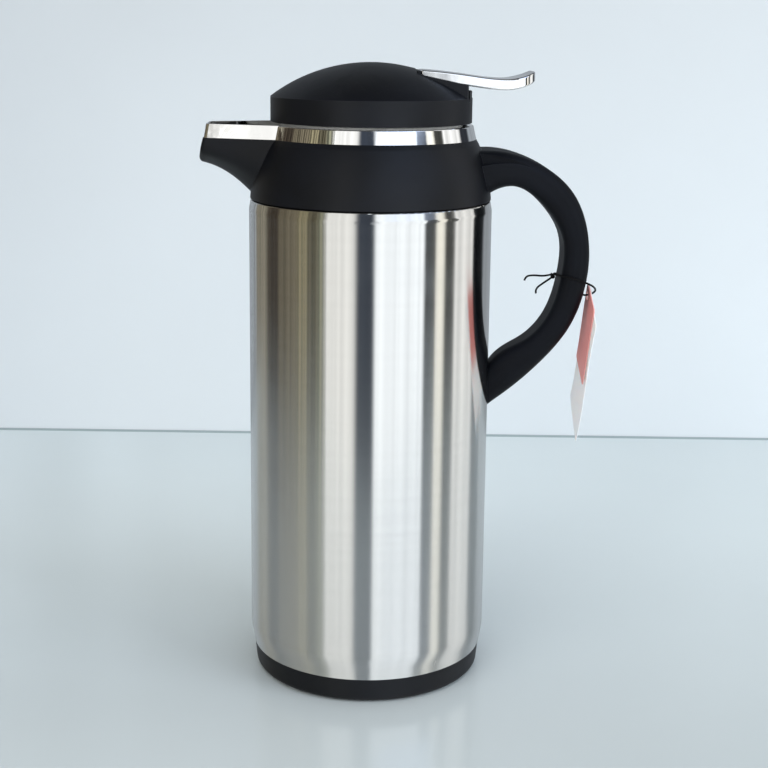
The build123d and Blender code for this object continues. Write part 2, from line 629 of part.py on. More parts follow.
def pan_screw(x, y, z, length):
    """A screw along +X whose head ends at x."""
    head = rod(SCREW_HEAD, (x - SCREW_HEAD_HEIGHT, y, z), (x, y, z))
    head = fillet(head.edges().group_by(Axis.X)[0], 0.8)
    return head + rod(SCREW_RADIUS, (x, y, z), (x + length, y, z))


def make_handle_screws():
    """Two screws from inside the collar and one from inside the casing."""
    screws = [pan_screw(ROOT_SCREW_SEAT, side * ROOT_SCREW_SPREAD, ROOT_SCREW_HEIGHT, HANDLE_SCREW_LENGTH)
              for side in (-1, 1)]
    screws.append(pan_screw(FOOT_SCREW_SEAT, 0, FOOT_SCREW_HEIGHT, HANDLE_SCREW_LENGTH))
    return Compound(screws)


# ---- Lid ---------------------------------------------------------------------------------------

def lid_screw_places():
    """Where the stopper's screws stand, clear of the lever and of the spout."""
    step = 360 / LID_SCREW_COUNT
    turns = [radians(step / 2 + step * index) for index in range(LID_SCREW_COUNT)]
    return [(LID_SCREW_CIRCLE * cos(turn), LID_SCREW_CIRCLE * sin(turn)) for turn in turns]


def dome(radius, top, bottom, drop=0.0):
    """A cylinder under a spherical cap, drawn in by drop all over."""
    edge = radius - drop
    sphere = DOME_RADIUS - drop
    centre = top - DOME_RADIUS
    rim = centre + sqrt(sphere**2 - edge**2)
    halfway = asin(edge / sphere) / 2
    cap = ThreePointArc((edge, 0, rim), (sphere * sin(halfway), 0, centre + sphere * cos(halfway)),
                        (0, 0, top - drop))
    side = Polyline((0, 0, top - drop), (0, 0, bottom), (edge, 0, bottom), (edge, 0, rim))
    return revolve(make_face([cap, *side.edges()]), Axis.Z)


def make_lid_shell():
    """Domed lid with a raised housing for the lever at its back."""
    slope = (HOUSING_FRONT_TOP - HOUSING_BACK_TOP) / (LID_RADIUS - HOUSING_FRONT_X)
    back = LID_RADIUS + 5
    outline = Polyline((HOUSING_FRONT_X, 0, LID_BOTTOM + 2), (HOUSING_FRONT_X, 0, HOUSING_FRONT_TOP),
                       (back, 0, HOUSING_BACK_TOP - slope * 5), (back, 0, LID_BOTTOM + 2), close=True)
    column = Cylinder(LID_RADIUS - HOUSING_INSET, LID_TOP - LID_BOTTOM,
                      align=(Align.CENTER, Align.CENTER, Align.MIN))
    column = Pos(0, 0, LID_BOTTOM) * column
    housing = side_plate(make_face(outline), HOUSING_HALF) & column
    outer = dome(LID_RADIUS, LID_TOP, LID_BOTTOM)
    shell = outer + housing
    shell -= dome(LID_RADIUS, LID_TOP, LID_BOTTOM - 1, LID_WALL)
    inside = outer + housing
    for side in (-1, 1):
        low = min(side * SLOT_HALF, side * HOUSING_HALF)
        high = max(side * SLOT_HALF, side * HOUSING_HALF)
        shell += block((HOUSING_FRONT_X, low, RIB_BOTTOM), (LID_RADIUS, high, HOUSING_FRONT_TOP)) & inside
    front_wall = block((HOUSING_FRONT_X - HOUSING_WALL, -HOUSING_HALF, PIVOT_Z + 5),
                       (HOUSING_FRONT_X, HOUSING_HALF, LID_TOP))
    shell += front_wall & inside
    inner = LID_RADIUS - LID_WALL
    slot = block((HOUSING_FRONT_X, -SLOT_HALF, RIB_BOTTOM + 2), (inner, SLOT_HALF, LID_TOP + 5))
    notch = block((inner - 8, -SLOT_HALF, REAR_NOTCH), (LID_RADIUS + 5, SLOT_HALF, LID_TOP + 5))
    shell = shell - slot - notch
    full = dome(LID_RADIUS, LID_TOP, PLUG_PLATE_TOP)
    for x, y in lid_screw_places():
        shell += rod(BOSS_RADIUS, (x, y, PLUG_PLATE_TOP), (x, y, LID_TOP)) & full
        shell -= rod(LID_SCREW_RADIUS + RUNNING, (x, y, PLUG_PLATE_TOP - 1),
                     (x, y, PLUG_PLATE_BOTTOM + LID_SCREW_LENGTH + 1))
    pocket = HOUSING_HALF - PIN_COVER
    shell -= rod(PIN_RADIUS + RUNNING, (PIVOT_X, -pocket, PIVOT_Z), (PIVOT_X, pocket, PIVOT_Z))
    return shell


def make_lid_plug():
    """Stopper under the lid: a plate over the bowl and a tube with ports and a valve seat."""
    bore = PLUG_RADIUS - PLUG_WALL
    tube_top = PLUG_PLATE_BOTTOM + 1
    tube = turned((SEAT_RADIUS, PLUG_BOTTOM, 0.6), (PLUG_RADIUS, PLUG_BOTTOM, 1), (PLUG_RADIUS, tube_top),
                  (bore, tube_top), (bore, SEAT_TOP), (SEAT_RADIUS, SEAT_TOP, 0.6))
    plate = turned((0, PLUG_PLATE_BOTTOM), (PLUG_PLATE_RADIUS, PLUG_PLATE_BOTTOM, 0.8),
                   (PLUG_PLATE_RADIUS, PLUG_PLATE_TOP, 0.5), (0, PLUG_PLATE_TOP))
    plug = tube + plate
    gasket_low = SEAT_TOP - 1
    plug -= turned((PLUG_RADIUS - GASKET_DEPTH, gasket_low), (PLUG_RADIUS + 1, gasket_low),
                   (PLUG_RADIUS + 1, gasket_low + GASKET_HEIGHT),
                   (PLUG_RADIUS - GASKET_DEPTH, gasket_low + GASKET_HEIGHT))
    port = block((bore - 3, -PORT_WIDTH / 2, BOWL_FLOOR + 1),
                 (PLUG_RADIUS + 3, PORT_WIDTH / 2, PLUG_PLATE_BOTTOM - 2))
    for index in range(PORT_COUNT):
        plug -= Rot(0, 0, index * 360 / PORT_COUNT) * port
    plug -= rod(STEM_RADIUS + 0.08, (0, 0, PLUG_PLATE_BOTTOM - 1), (0, 0, PLUG_PLATE_TOP + 1))
    for x, y in lid_screw_places():
        plug -= rod(LID_SCREW_RADIUS + SLIDING, (x, y, PLUG_PLATE_BOTTOM - 1), (x, y, PLUG_PLATE_TOP + 1))
    return plug


def make_plug_gasket():
    """Silicone ring that seals the stopper in the mouth."""
    low = SEAT_TOP - 1 + RUNNING
    high = low + GASKET_HEIGHT - 2 * RUNNING
    inner = PLUG_RADIUS - GASKET_DEPTH + RUNNING
    outer = MOUTH_RADIUS - SLIDING
    return turned((inner, low), (outer, low, 0.8), (outer, high, 0.8), (inner, high))


def make_lid_screws():
    """Screws that hold the stopper to the lid."""
    seat = PLUG_PLATE_BOTTOM
    screws = []
    for x, y in lid_screw_places():
        head = rod(LID_SCREW_RADIUS * 2, (x, y, seat - 1.8), (x, y, seat))
        head = fillet(head.edges().group_by(Axis.Z)[0], 0.7)
        screws.append(head + rod(LID_SCREW_RADIUS, (x, y, seat), (x, y, seat + LID_SCREW_LENGTH)))
    return Compound(screws)


# ---- Lever and valve -------------------------------------------------------------------------------

def lever_line(drop):
    """The lever's long curve in side view, lowered by drop."""
    return Spline(*[(PIVOT_X + x, 0, PIVOT_Z + z - drop) for x, z in LEVER_CURVE])


def lever_side(top_drop, bottom_drop):
    """Side outline between two copies of the lever's curve."""
    top = lever_line(top_drop)
    bottom = lever_line(bottom_drop)
    front = Line(bottom @ 0, top @ 0)
    back = Line(top @ 1, bottom @ 1)
    return make_face([top, back, bottom, front])


def lever_plan(half, nose, tail, corner):
    """Plan of the lever: square in the housing, round at the thumb end."""
    low = LID_BOTTOM
    outline = FilletPolyline((nose, -half, low), (tail, -half, low), (tail, half, low), (nose, half, low),
                             radius=(1.2, corner, corner, 1.2), close=True)
    return extrude(make_face(outline), 2 * (LID_TOP - low), dir=(0, 0, 1))


def make_lever():
    """Chrome thumb lever, hollow underneath."""
    form = side_plate(lever_side(0, LEVER_DEPTH), LEVER_HALF)
    form &= lever_plan(LEVER_HALF, LEVER_NOSE, LEVER_TAIL, THUMB_ROUNDING)
    top = form.faces().sort_by(Axis.Z)[-1]
    form = fillet(top.edges(), LEVER_ROUNDING)
    pocket = side_plate(lever_side(LEVER_SKIN, LEVER_DEPTH + 3), LEVER_HALF)
    pocket &= lever_plan(LEVER_HALF - LEVER_SKIN, LEVER_NOSE + LEVER_SKIN, LEVER_TAIL - 2 * LEVER_SKIN,
                         THUMB_ROUNDING - LEVER_SKIN)
    return form - pocket


def make_rocker():
    """Moulded rocker clipped into the lever: hub on the pin, forked arm out to the stem."""
    inset = LEVER_SKIN + SNUG
    core = side_plate(lever_side(inset, LEVER_DEPTH - 0.4), LEVER_HALF)
    core &= lever_plan(LEVER_HALF - inset, LEVER_NOSE + inset, LEVER_TAIL - 2 * LEVER_SKIN - SNUG,
                       THUMB_ROUNDING - inset)
    hub = rod(HUB_RADIUS, (PIVOT_X, -SLOT_HALF + FREE, PIVOT_Z), (PIVOT_X, SLOT_HALF - FREE, PIVOT_Z))
    web = block((PIVOT_X - WEB_HALF, -ARM_HALF, PIVOT_Z), (PIVOT_X + WEB_HALF, ARM_HALF, PIVOT_Z + WEB_RISE))
    arm = block((FORK_LENGTH - 2, -ARM_HALF, PIVOT_Z - ARM_DEPTH), (PIVOT_X, ARM_HALF, PIVOT_Z + ARM_RISE))
    fork = block((-PRONG_RADIUS, -ARM_HALF, PIVOT_Z - 1.5), (FORK_LENGTH, ARM_HALF, PIVOT_Z + 1.0))
    prongs = rod(PRONG_RADIUS, (0, -ARM_HALF, PIVOT_Z), (0, ARM_HALF, PIVOT_Z))
    front = HOUSING_FRONT_X + FREE
    plate_low = PIVOT_Z + NOSE_PLATE_RISE
    plate_end = LEVER_NOSE + NOSE_PLATE_LENGTH
    nose = block((front, -LEVER_HALF, plate_low), (LEVER_NOSE - SNUG, LEVER_HALF, PIVOT_Z + NOSE_LIP_RISE))
    nose += block((front, -LEVER_HALF, plate_low), (plate_end, LEVER_HALF, plate_low + NOSE_PLATE_DEPTH))
    nose += block((LEVER_NOSE + inset, inset - LEVER_HALF, plate_low),
                  (plate_end, LEVER_HALF - inset, plate_low + LEVER_DEPTH - inset))
    gap = STEM_RADIUS + FREE
    low = PIVOT_Z - 10
    high = PIVOT_Z + 10
    throat = block((-10, -gap, low), (0, gap, high)) + rod(gap + 0.4, (0, 0, low), (0, 0, high))
    rocker = core + hub + web + arm + nose + fork + prongs - throat
    return rocker - rod(PIN_RADIUS + RUNNING, (PIVOT_X, -HOUSING_HALF, PIVOT_Z),
                        (PIVOT_X, HOUSING_HALF, PIVOT_Z))


def make_lever_pin():
    """Steel pin through the housing's ribs and the rocker's hub."""
    half = HOUSING_HALF - PIN_COVER - SNUG
    return rod(PIN_RADIUS, (PIVOT_X, -half, PIVOT_Z), (PIVOT_X, half, PIVOT_Z))


def make_valve_stem():
    """Rod from the valve disc up to the head that the fork lifts."""
    stem = rod(STEM_RADIUS, (0, 0, VALVE_BOTTOM), (0, 0, STEM_REST))
    head = rod(STEM_HEAD, (0, 0, STEM_REST), (0, 0, STEM_REST + STEM_HEAD_HEIGHT))
    return stem + fillet(head.edges().group_by(Axis.Z)[-1], 0.8)


def make_valve_disc():
    """Disc with a hub on the stem's lower end."""
    hole = STEM_RADIUS + RUNNING
    hub_top = VALVE_TOP + VALVE_HUB_HEIGHT
    return turned((hole, VALVE_BOTTOM), (VALVE_RADIUS, VALVE_BOTTOM), (VALVE_RADIUS, VALVE_TOP, 0.8),
                  (VALVE_HUB, VALVE_TOP), (VALVE_HUB, hub_top, 0.5), (hole, hub_top))


def make_valve_seal():
    """Silicone washer under the disc."""
    return turned((0, SEAT_TOP), (SEAL_RADIUS, SEAT_TOP, 0.6), (SEAL_RADIUS, VALVE_BOTTOM),
                  (0, VALVE_BOTTOM))


def make_valve_spring():
    """Coil spring round the stem that closes the valve and lifts the lever."""
    low = VALVE_TOP + SPRING_WIRE / 2 + SLIDING
    height = PLUG_PLATE_BOTTOM - SPRING_WIRE / 2 - SLIDING - low
    coil = Pos(0, 0, low) * Helix(pitch=height / SPRING_TURNS, height=height, radius=SPRING_RADIUS)
    section = Plane(origin=coil @ 0, z_dir=coil % 0) * Circle(SPRING_WIRE / 2)
    return sweep(section, path=coil)


# ---- Tags --------------------------------------------------------------------------------------------

STRING_ROUTE = (
    (79.8, -4.6, 209.9), (84.4, -4.2, 210.7), (89.4, -5.0, 210.3), (94.2, -4.8, 211.4),
    (97.0, -11.6, 211.7), (102.4, -14.7, 211.0), (108.2, -14.4, 209.2), (113.6, -10.4, 206.6),
    (118.6, -3.3, 202.2), (110.7, 3.8, 198.7), (111.8, 10.2, 202.4), (109.0, 14.7, 205.8),
    (102.6, 14.8, 207.8), (97.1, 11.8, 209.2), (96.2, 4.8, 209.9), (94.6, -2.0, 209.5),
    (89.9, -4.0, 206.9), (85.4, -4.3, 203.6),
)
KNOT_PLACE = (94.3, -4.0, 210.5)


def route_radii(points):
    """Radius of the arc at each inner point of a route."""
    radii = []
    for before, here, after in zip(points, points[1:], points[2:]):
        first = Vector(*here) - Vector(*before)
        second = Vector(*after) - Vector(*here)
        half_turn = radians(first.get_angle(second)) / 2
        radii.append(0.45 * min(first.length, second.length) / tan(half_turn))
    return radii


def make_tag_string():
    """Thin string: one loose end, once round the grip through the cards, the other loose end."""
    radii = route_radii(STRING_ROUTE)
    path = FilletPolyline(*STRING_ROUTE, radius=radii)
    section = Plane(origin=path @ 0, z_dir=path % 0) * Circle(STRING_DIAMETER / 2)
    string = sweep(section, path=path)
    print("string radii", [round(radius, 1) for radius in radii], "length", round(path.length, 1))
    return string


def make_string_knot():
    """Knot where the two ends of the string leave the loop."""
    return Pos(*KNOT_PLACE) * Sphere(KNOT_RADIUS)


def make_card(size, turn, offset):
    """A card hung by a hole at one corner, turned in its plane and leaning in towards the jug."""
    width, length = size
    margin = CARD_HOLE + CARD_EDGE
    outline = FilletPolyline((offset, margin, margin), (offset, margin - width, margin),
                             (offset, margin - width, margin - length), (offset, margin, margin - length),
                             radius=1.5, close=True)
    card = extrude(make_face(outline), CARD_THICKNESS, dir=(1, 0, 0))
    card -= rod(CARD_HOLE, (offset - 2, 0, 0), (offset + 2, 0, 0))
    return Pos(CARD_X, 0, CARD_Z) * Rot(0, CARD_LEAN, 0) * Rot(turn, 0, 0) * card


def make_red_card():
    """Small card, nearer the jug."""
    return make_card(RED_CARD, RED_TURN, -CARD_THICKNESS / 2)


def make_white_card():
    """Large card, on the outside."""
    return make_card(WHITE_CARD, WHITE_TURN, CARD_THICKNESS / 2 + CARD_GAP)


# ---- Output ----------------------------------------------------------------------------------------------

os.makedirs("parts", exist_ok=True)

PIECES = {
    "outer_casing": make_outer_casing,
    "base_ring": make_base_ring,
    "foot_ring": make_foot_ring,
    "base_cap": make_base_cap,
    "bottle_cushion": make_bottle_cushion,
    "bottle_outer_wall": make_bottle_outer,
    "bottle_inner_wall": make_bottle_inner,
    "neck_seal": make_neck_seal,
    "collar": make_collar,
    "pour_bowl": make_pour_bowl,
    "trim_ring": make_trim_ring,
    "handle": make_handle,
    "handle_screws": make_handle_screws,
    "lid_shell": make_lid_shell,
    "lid_plug": make_lid_plug,
    "plug_gasket": make_plug_gasket,
    "lid_screws": make_lid_screws,
    "lever": make_lever,
    "rocker": make_rocker,
    "lever_pin": make_lever_pin,
    "valve_stem": make_valve_stem,
    "valve_disc": make_valve_disc,
    "valve_seal": make_valve_seal,
    "valve_spring": make_valve_spring,
    "tag_string": make_tag_string,
    "string_knot": make_string_knot,
    "red_card": make_red_card,
    "white_card": make_white_card,
}

for name, make in PIECES.items():
    piece = make()
    export_step(piece, os.path.join("parts", name + ".step"))
    print(name, round(piece.volume))
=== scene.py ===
# %% [markdown]
# # A vacuum serving jug
#
# This lesson dresses a jug whose solid parts come from a CAD model. The parts are already in place and
# at their real size, in metres, so nothing here moves them. What is left for Blender is what the eye
# sees: brushed steel, bright plating, moulded plastic, a thin black cord and two paper cards.

# %% Load the solid parts
import json
from math import cos, pi, radians, sin

import bmesh
import bpy
from mathutils import Matrix, Vector


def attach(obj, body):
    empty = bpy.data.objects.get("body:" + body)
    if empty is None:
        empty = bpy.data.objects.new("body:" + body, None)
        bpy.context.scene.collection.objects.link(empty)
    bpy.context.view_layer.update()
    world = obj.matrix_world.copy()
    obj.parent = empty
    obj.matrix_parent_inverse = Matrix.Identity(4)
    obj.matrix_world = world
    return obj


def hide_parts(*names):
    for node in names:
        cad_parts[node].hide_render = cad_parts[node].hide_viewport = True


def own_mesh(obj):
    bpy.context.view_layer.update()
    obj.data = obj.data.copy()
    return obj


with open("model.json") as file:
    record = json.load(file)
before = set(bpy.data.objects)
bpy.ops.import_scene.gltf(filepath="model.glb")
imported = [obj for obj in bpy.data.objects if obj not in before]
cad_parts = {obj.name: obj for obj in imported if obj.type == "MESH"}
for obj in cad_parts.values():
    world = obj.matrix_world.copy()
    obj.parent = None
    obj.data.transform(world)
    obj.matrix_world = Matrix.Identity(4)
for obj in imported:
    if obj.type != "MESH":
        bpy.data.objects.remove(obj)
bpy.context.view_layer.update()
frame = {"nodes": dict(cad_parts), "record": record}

# %% [markdown]
# ## The camera
#
# The jug is seen from in front and a little above, so that the handle stands to the right and the spout
# to the left. The lens is moved down slightly in its mount, as on a view camera, which keeps the sides of
# a tall object from leaning in. The turn is built from three plain angles: pitch, yaw and roll.

# %% Place the camera
MM = 0.001
CAMERA_PLACE = Vector((-12.6, -748.8, 333.7)) * MM
CAMERA_PITCH = radians(11.13)
CAMERA_YAW = radians(1.54)
CAMERA_ROLL = radians(0.62)
CAMERA_LENS = 68.8
CAMERA_SENSOR = 36
CAMERA_SHIFT = -0.0846

bpy.ops.object.camera_add(location=CAMERA_PLACE)
camera = bpy.context.object
camera.rotation_euler = (
    Matrix.Rotation(-CAMERA_YAW, 3, "Z")
    @ Matrix.Rotation(pi / 2 - CAMERA_PITCH, 3, "X")
    @ Matrix.Rotation(CAMERA_ROLL, 3, "Z")
).to_euler()
camera.data.sensor_width = CAMERA_SENSOR
camera.data.lens = CAMERA_LENS
camera.data.shift_y = CAMERA_SHIFT
bpy.context.scene.camera = camera
bpy.context.scene.view_settings.view_transform = "Standard"
print("camera at", [round(value, 3) for value in camera.location])

# %% [markdown]
# ## The cord round the handle
#
# A thin black cord is tied once round the grip. It goes through the holes of two cards and ends in two
# short tails with slightly hooked tips. A cord can be a swept mesh or a curve with a round bevel. A curve
# is used here, because its few control points are easy to read, and a NURBS curve stays smooth between
# them. Each point has a radius as well. The tube is as thick as the bevel times that radius, and Blender
# also adds the radius to the curve's box, so the real radius is written there and the bevel is 1.

# %% Lay the cord
CORD_DIAMETER = 1.0 * MM
CORD_POINTS = (
    # the first tail, from its hooked tip to the knot
    (79.6, -4.4, 207.9), (80.2, -4.4, 210.2), (84.4, -4.2, 210.7), (89.4, -5.0, 210.3),
    (94.2, -4.8, 211.4),
    # round the front of the grip, through the cards and back round its far side
    (97.0, -11.6, 211.7), (102.4, -14.7, 211.0), (108.2, -14.4, 209.2), (115.4, -9.5, 205.6),
    (117.1, -2.2, 201.4), (110.8, 3.0, 198.3), (111.2, 10.2, 202.4), (109.0, 14.7, 205.8),
    (102.6, 14.8, 207.8), (97.1, 11.8, 209.2), (96.2, 4.8, 209.9),
    # the second tail
    (94.6, -2.0, 209.5), (89.9, -4.0, 206.9), (85.2, -4.3, 203.5), (85.8, -4.4, 201.2),
)
CORD_ORDER = 3
CORD_STEPS = 8
CORD_ROUNDNESS = 3


def cord_spline(name, places, closed=False):
    """A curve object whose one NURBS spline follows the places, as a tube of the cord's diameter."""
    line = bpy.data.curves.new(name, "CURVE")
    line.dimensions = "3D"
    spline = line.splines.new("NURBS")
    spline.points.add(len(places) - 1)
    for point, place in zip(spline.points, places):
        point.co = (*place, 1)
        point.radius = CORD_DIAMETER / 2
    spline.order_u = CORD_ORDER
    spline.use_endpoint_u = not closed
    spline.use_cyclic_u = closed
    spline.resolution_u = CORD_STEPS
    line.bevel_depth = 1.0
    line.bevel_resolution = CORD_ROUNDNESS
    line.use_fill_caps = not closed
    made = bpy.data.objects.new(name, line)
    bpy.context.scene.collection.objects.link(made)
    return made


tag_cord = cord_spline("tag_cord", [Vector(place) * MM for place in CORD_POINTS])
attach(tag_cord, "jug")
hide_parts("tag_string")
print("cord points:", len(CORD_POINTS))

# %% [markdown]
# ## The knot
#
# Where the two tails leave the loop, the cord is tied in a small overhand knot. The knot is the same
# cord, wound closely over and under itself. The line of a trefoil knot has that over and under in three
# sines, so it gives the points here. The tube is made a mesh, because the knot never bends again.

# %% Tie the knot
KNOT_PLACE = Vector((94.3, -4.0, 210.5)) * MM
KNOT_POINTS = 14
KNOT_WIDTH = 0.44 * MM
KNOT_HEIGHT = 0.62 * MM
KNOT_TURN = (radians(75), radians(20), radians(35))

knot_places = []
for step in range(KNOT_POINTS):
    way = 2 * pi * step / KNOT_POINTS
    knot_places.append(Vector((
        KNOT_WIDTH * (sin(way) + 2 * sin(2 * way)),
        KNOT_WIDTH * (cos(way) - 2 * cos(2 * way)),
        -KNOT_HEIGHT * sin(3 * way),
    )))
tag_knot = cord_spline("tag_knot", knot_places, closed=True)
tag_knot.location = KNOT_PLACE
tag_knot.rotation_euler = KNOT_TURN


def select_only(piece):
    """Selects one object and makes it the active one."""
    bpy.ops.object.select_all(action="DESELECT")
    piece.select_set(True)
    bpy.context.view_layer.objects.active = piece


select_only(tag_knot)
bpy.ops.object.convert(target="MESH")
bpy.ops.object.transform_apply(location=True, rotation=True, scale=True)
bpy.ops.object.shade_smooth()
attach(tag_knot, "jug")
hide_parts("string_knot")

# %% [markdown]
# ## The two cards
#
# Two cards hang from the cord by a hole in one corner: a small red one, and a long white one behind it.
# Real card is never quite flat. It takes a curl from the roll that it was cut from. Each card starts as
# a plane, its corners are rounded by a bevel of its vertices, and bisect cuts it into strips, so that it
# has something to bend. Its lower end is then pulled out with proportional editing, which carries the
# rest along less and less. Solidify gives it its thickness last, and a cylinder punches the hole.

# %% Cut, curl and punch the cards
CARD_THICKNESS = 0.4 * MM
CARD_HOLE = 2.5 * MM
CARD_MARGIN = 4.9 * MM
CARD_CORNER = 1.5 * MM
CARD_CORNER_STEPS = 4
CARD_STRIPS = 16
CARD_BEND = 0.95
PUNCH_SIDES = 32
PUNCH_DEPTH = 8 * MM
CARD_PLACE = Vector((113.6, 0.0, 199.4)) * MM
CARD_LEAN = radians(4)


def finish_modifier(piece, kind, **settings):
    """Adds a modifier with its settings and applies it."""
    modifier = piece.modifiers.new(kind.lower(), kind)
    for name, value in settings.items():
        setattr(modifier, name, value)
    select_only(piece)
    bpy.ops.object.modifier_apply(modifier=modifier.name)


def hang_card(name, size, turn, offset, curl):
    """A card that faces +X with its hole at the origin, curled, punched and then hung in its place."""
    width, length = size
    bottom = CARD_MARGIN - length
    bpy.ops.object.select_all(action="DESELECT")
    bpy.ops.mesh.primitive_plane_add(
        size=1, location=(offset, CARD_MARGIN - width / 2, CARD_MARGIN - length / 2),
        rotation=(0, pi / 2, 0),
    )
    card = bpy.context.object
    card.name = name
    card.scale = (length, width, 1)
    bpy.ops.object.transform_apply(location=True, rotation=True, scale=True)
    bpy.ops.object.mode_set(mode="EDIT")
    bpy.ops.mesh.select_all(action="SELECT")
    bpy.ops.mesh.bevel(affect="VERTICES", offset=CARD_CORNER, segments=CARD_CORNER_STEPS)
    for strip in range(1, CARD_STRIPS):
        bpy.ops.mesh.select_all(action="SELECT")
        height = bottom + length * strip / CARD_STRIPS
        bpy.ops.mesh.bisect(plane_co=(0, 0, height), plane_no=(0, 0, 1))
    bpy.ops.mesh.select_all(action="DESELECT")
    outline = bmesh.from_edit_mesh(card.data)
    for corner in outline.verts:
        corner.select_set(corner.co.z < bottom + length / CARD_STRIPS / 2)
    outline.select_flush(True)
    bmesh.update_edit_mesh(card.data)
    bpy.ops.transform.translate(
        value=(curl, 0, 0), use_proportional_edit=True,
        proportional_edit_falloff="SMOOTH", proportional_size=length * CARD_BEND,
    )
    bpy.ops.object.mode_set(mode="OBJECT")
    finish_modifier(card, "SOLIDIFY", thickness=CARD_THICKNESS, offset=0.0)
    bpy.ops.object.select_all(action="DESELECT")
    bpy.ops.mesh.primitive_cylinder_add(
        vertices=PUNCH_SIDES, radius=CARD_HOLE, depth=PUNCH_DEPTH,
        location=(offset, 0, 0), rotation=(0, pi / 2, 0),
    )
    punch = bpy.context.object
    finish_modifier(card, "BOOLEAN", operation="DIFFERENCE", solver="EXACT", object=punch)
    bpy.data.objects.remove(punch)
    card.matrix_world = (
        Matrix.Translation(CARD_PLACE)
        @ Matrix.Rotation(CARD_LEAN, 4, "Y")
        @ Matrix.Rotation(turn, 4, "X")
    )
    select_only(card)
    bpy.ops.object.transform_apply(location=True, rotation=True, scale=True)
    bpy.ops.object.shade_smooth_by_angle(angle=radians(30))
    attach(card, "tags")
    print(name, "faces:", len(card.data.polygons))
    return card


red_tag = hang_card("red_tag", (28.5 * MM, 45.5 * MM), radians(20), -0.2 * MM, 0.9 * MM)
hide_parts("red_card")
white_tag = hang_card("white_tag", (36.0 * MM, 81.0 * MM), radians(29), 0.5 * MM, 3.2 * MM)
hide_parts("white_card")

# %% [markdown]

# %% [markdown]
# ## The table and the wall
#
# The jug stands on a pale glossy table, close to a pale wall. Both are stage, not part of the jug. A wall
# hides a jug that is seen from behind, so both surfaces let a camera ray through when it meets their
# back. That choice is made in the material with the Backfacing output. The table also lets half of the
# mirror rays through, so that the metal shows some of the room there. The light of a window falls off
# across a room, and that fall-off is painted into the colour: the tone of each surface is painted lighter
# and darker slowly along one axis.

# %% Helpers for materials
def new_material(name):
    """A material with an empty tree, its Principled shader and its output."""
    material = bpy.data.materials.new(name)
    material.use_nodes = True
    tree = material.node_tree
    tree.nodes.clear()
    shader = tree.nodes.new("ShaderNodeBsdfPrincipled")
    output = tree.nodes.new("ShaderNodeOutputMaterial")
    tree.links.new(shader.outputs["BSDF"], output.inputs["Surface"])
    return material, tree, shader, output


def add_node(tree, kind, **settings):
    """A node with its settings, and the values of its inputs with spaces written as underscores."""
    node = tree.nodes.new(kind)
    for name, value in settings.items():
        if hasattr(node, name):
            setattr(node, name, value)
        else:
            node.inputs[name.replace("_", " ")].default_value = value
    return node


def join(tree, *pairs):
    """Links each output to its input."""
    for start, end in pairs:
        tree.links.new(start, end)


def between(tree, mask, low, high):
    """Follows a mask from low to high. Either end is a number, a colour or another output."""
    colours = any(isinstance(end, tuple) or getattr(end, "type", "") == "RGBA" for end in (low, high))
    mix = add_node(tree, "ShaderNodeMix", data_type="RGBA" if colours else "FLOAT")
    tree.links.new(mask, mix.inputs["Factor"])
    for label, end in (("A", low), ("B", high)):
        if isinstance(end, bpy.types.NodeSocket):
            tree.links.new(end, mix.inputs[label])
        else:
            mix.inputs[label].default_value = (*end, 1) if colours else end
    return mix.outputs["Result"]


def remap(tree, value, low, high, to_low=0.0, to_high=1.0, kind="SMOOTHSTEP"):
    """Stretches the part of a pattern between low and high; its ends are soft unless kind is LINEAR."""
    node = add_node(tree, "ShaderNodeMapRange", interpolation_type=kind,
                    From_Min=low, From_Max=high, To_Min=to_low, To_Max=to_high)
    tree.links.new(value, node.inputs["Value"])
    return node.outputs["Result"]


def noise(tree, place, size, detail=2.0, **more):
    """A noise whose patches are about one over size metres wide; size may be an output."""
    node = add_node(tree, "ShaderNodeTexNoise", Detail=detail, **more)
    tree.links.new(place, node.inputs["Vector"])
    if isinstance(size, bpy.types.NodeSocket):
        tree.links.new(size, node.inputs["Scale"])
    else:
        node.inputs["Scale"].default_value = size
    return node.outputs["Fac"]


def multiply(tree, first, second):
    """The product of an output and a number or another output."""
    node = add_node(tree, "ShaderNodeMath", operation="MULTIPLY")
    tree.links.new(first, node.inputs[0])
    if isinstance(second, bpy.types.NodeSocket):
        tree.links.new(second, node.inputs[1])
    else:
        node.inputs[1].default_value = second
    return node.outputs[0]


# %% The table and the wall
TABLE_COLOUR = (0.59, 0.645, 0.65)
WALL_COLOUR = (0.72, 0.755, 0.77)
# the colour of a strip of painted shade, for the shadow in the gap between the table and the wall
GAP_SHADE_COLOUR = (0.34, 0.40, 0.41)
CLOUD_SIZE, CLOUD_DETAIL, CLOUD_DEPTH = 4.0, 3.0, 0.05


def see_through_back(tree, shader, output, mirror_share):
    """Lets camera rays through the back of a surface, and a share of mirror rays through its front."""
    geometry = tree.nodes.new("ShaderNodeNewGeometry")
    rays = tree.nodes.new("ShaderNodeLightPath")
    clear = tree.nodes.new("ShaderNodeBsdfTransparent")
    mix = tree.nodes.new("ShaderNodeMixShader")
    behind = multiply(tree, geometry.outputs["Backfacing"], rays.outputs["Is Camera Ray"])
    share = add_node(tree, "ShaderNodeMath", operation="MULTIPLY_ADD")
    share.inputs[1].default_value = mirror_share
    join(tree, (rays.outputs["Is Glossy Ray"], share.inputs[0]), (behind, share.inputs[2]),
         (share.outputs[0], mix.inputs["Fac"]), (shader.outputs["BSDF"], mix.inputs[1]),
         (clear.outputs["BSDF"], mix.inputs[2]), (mix.outputs["Shader"], output.inputs["Surface"]))


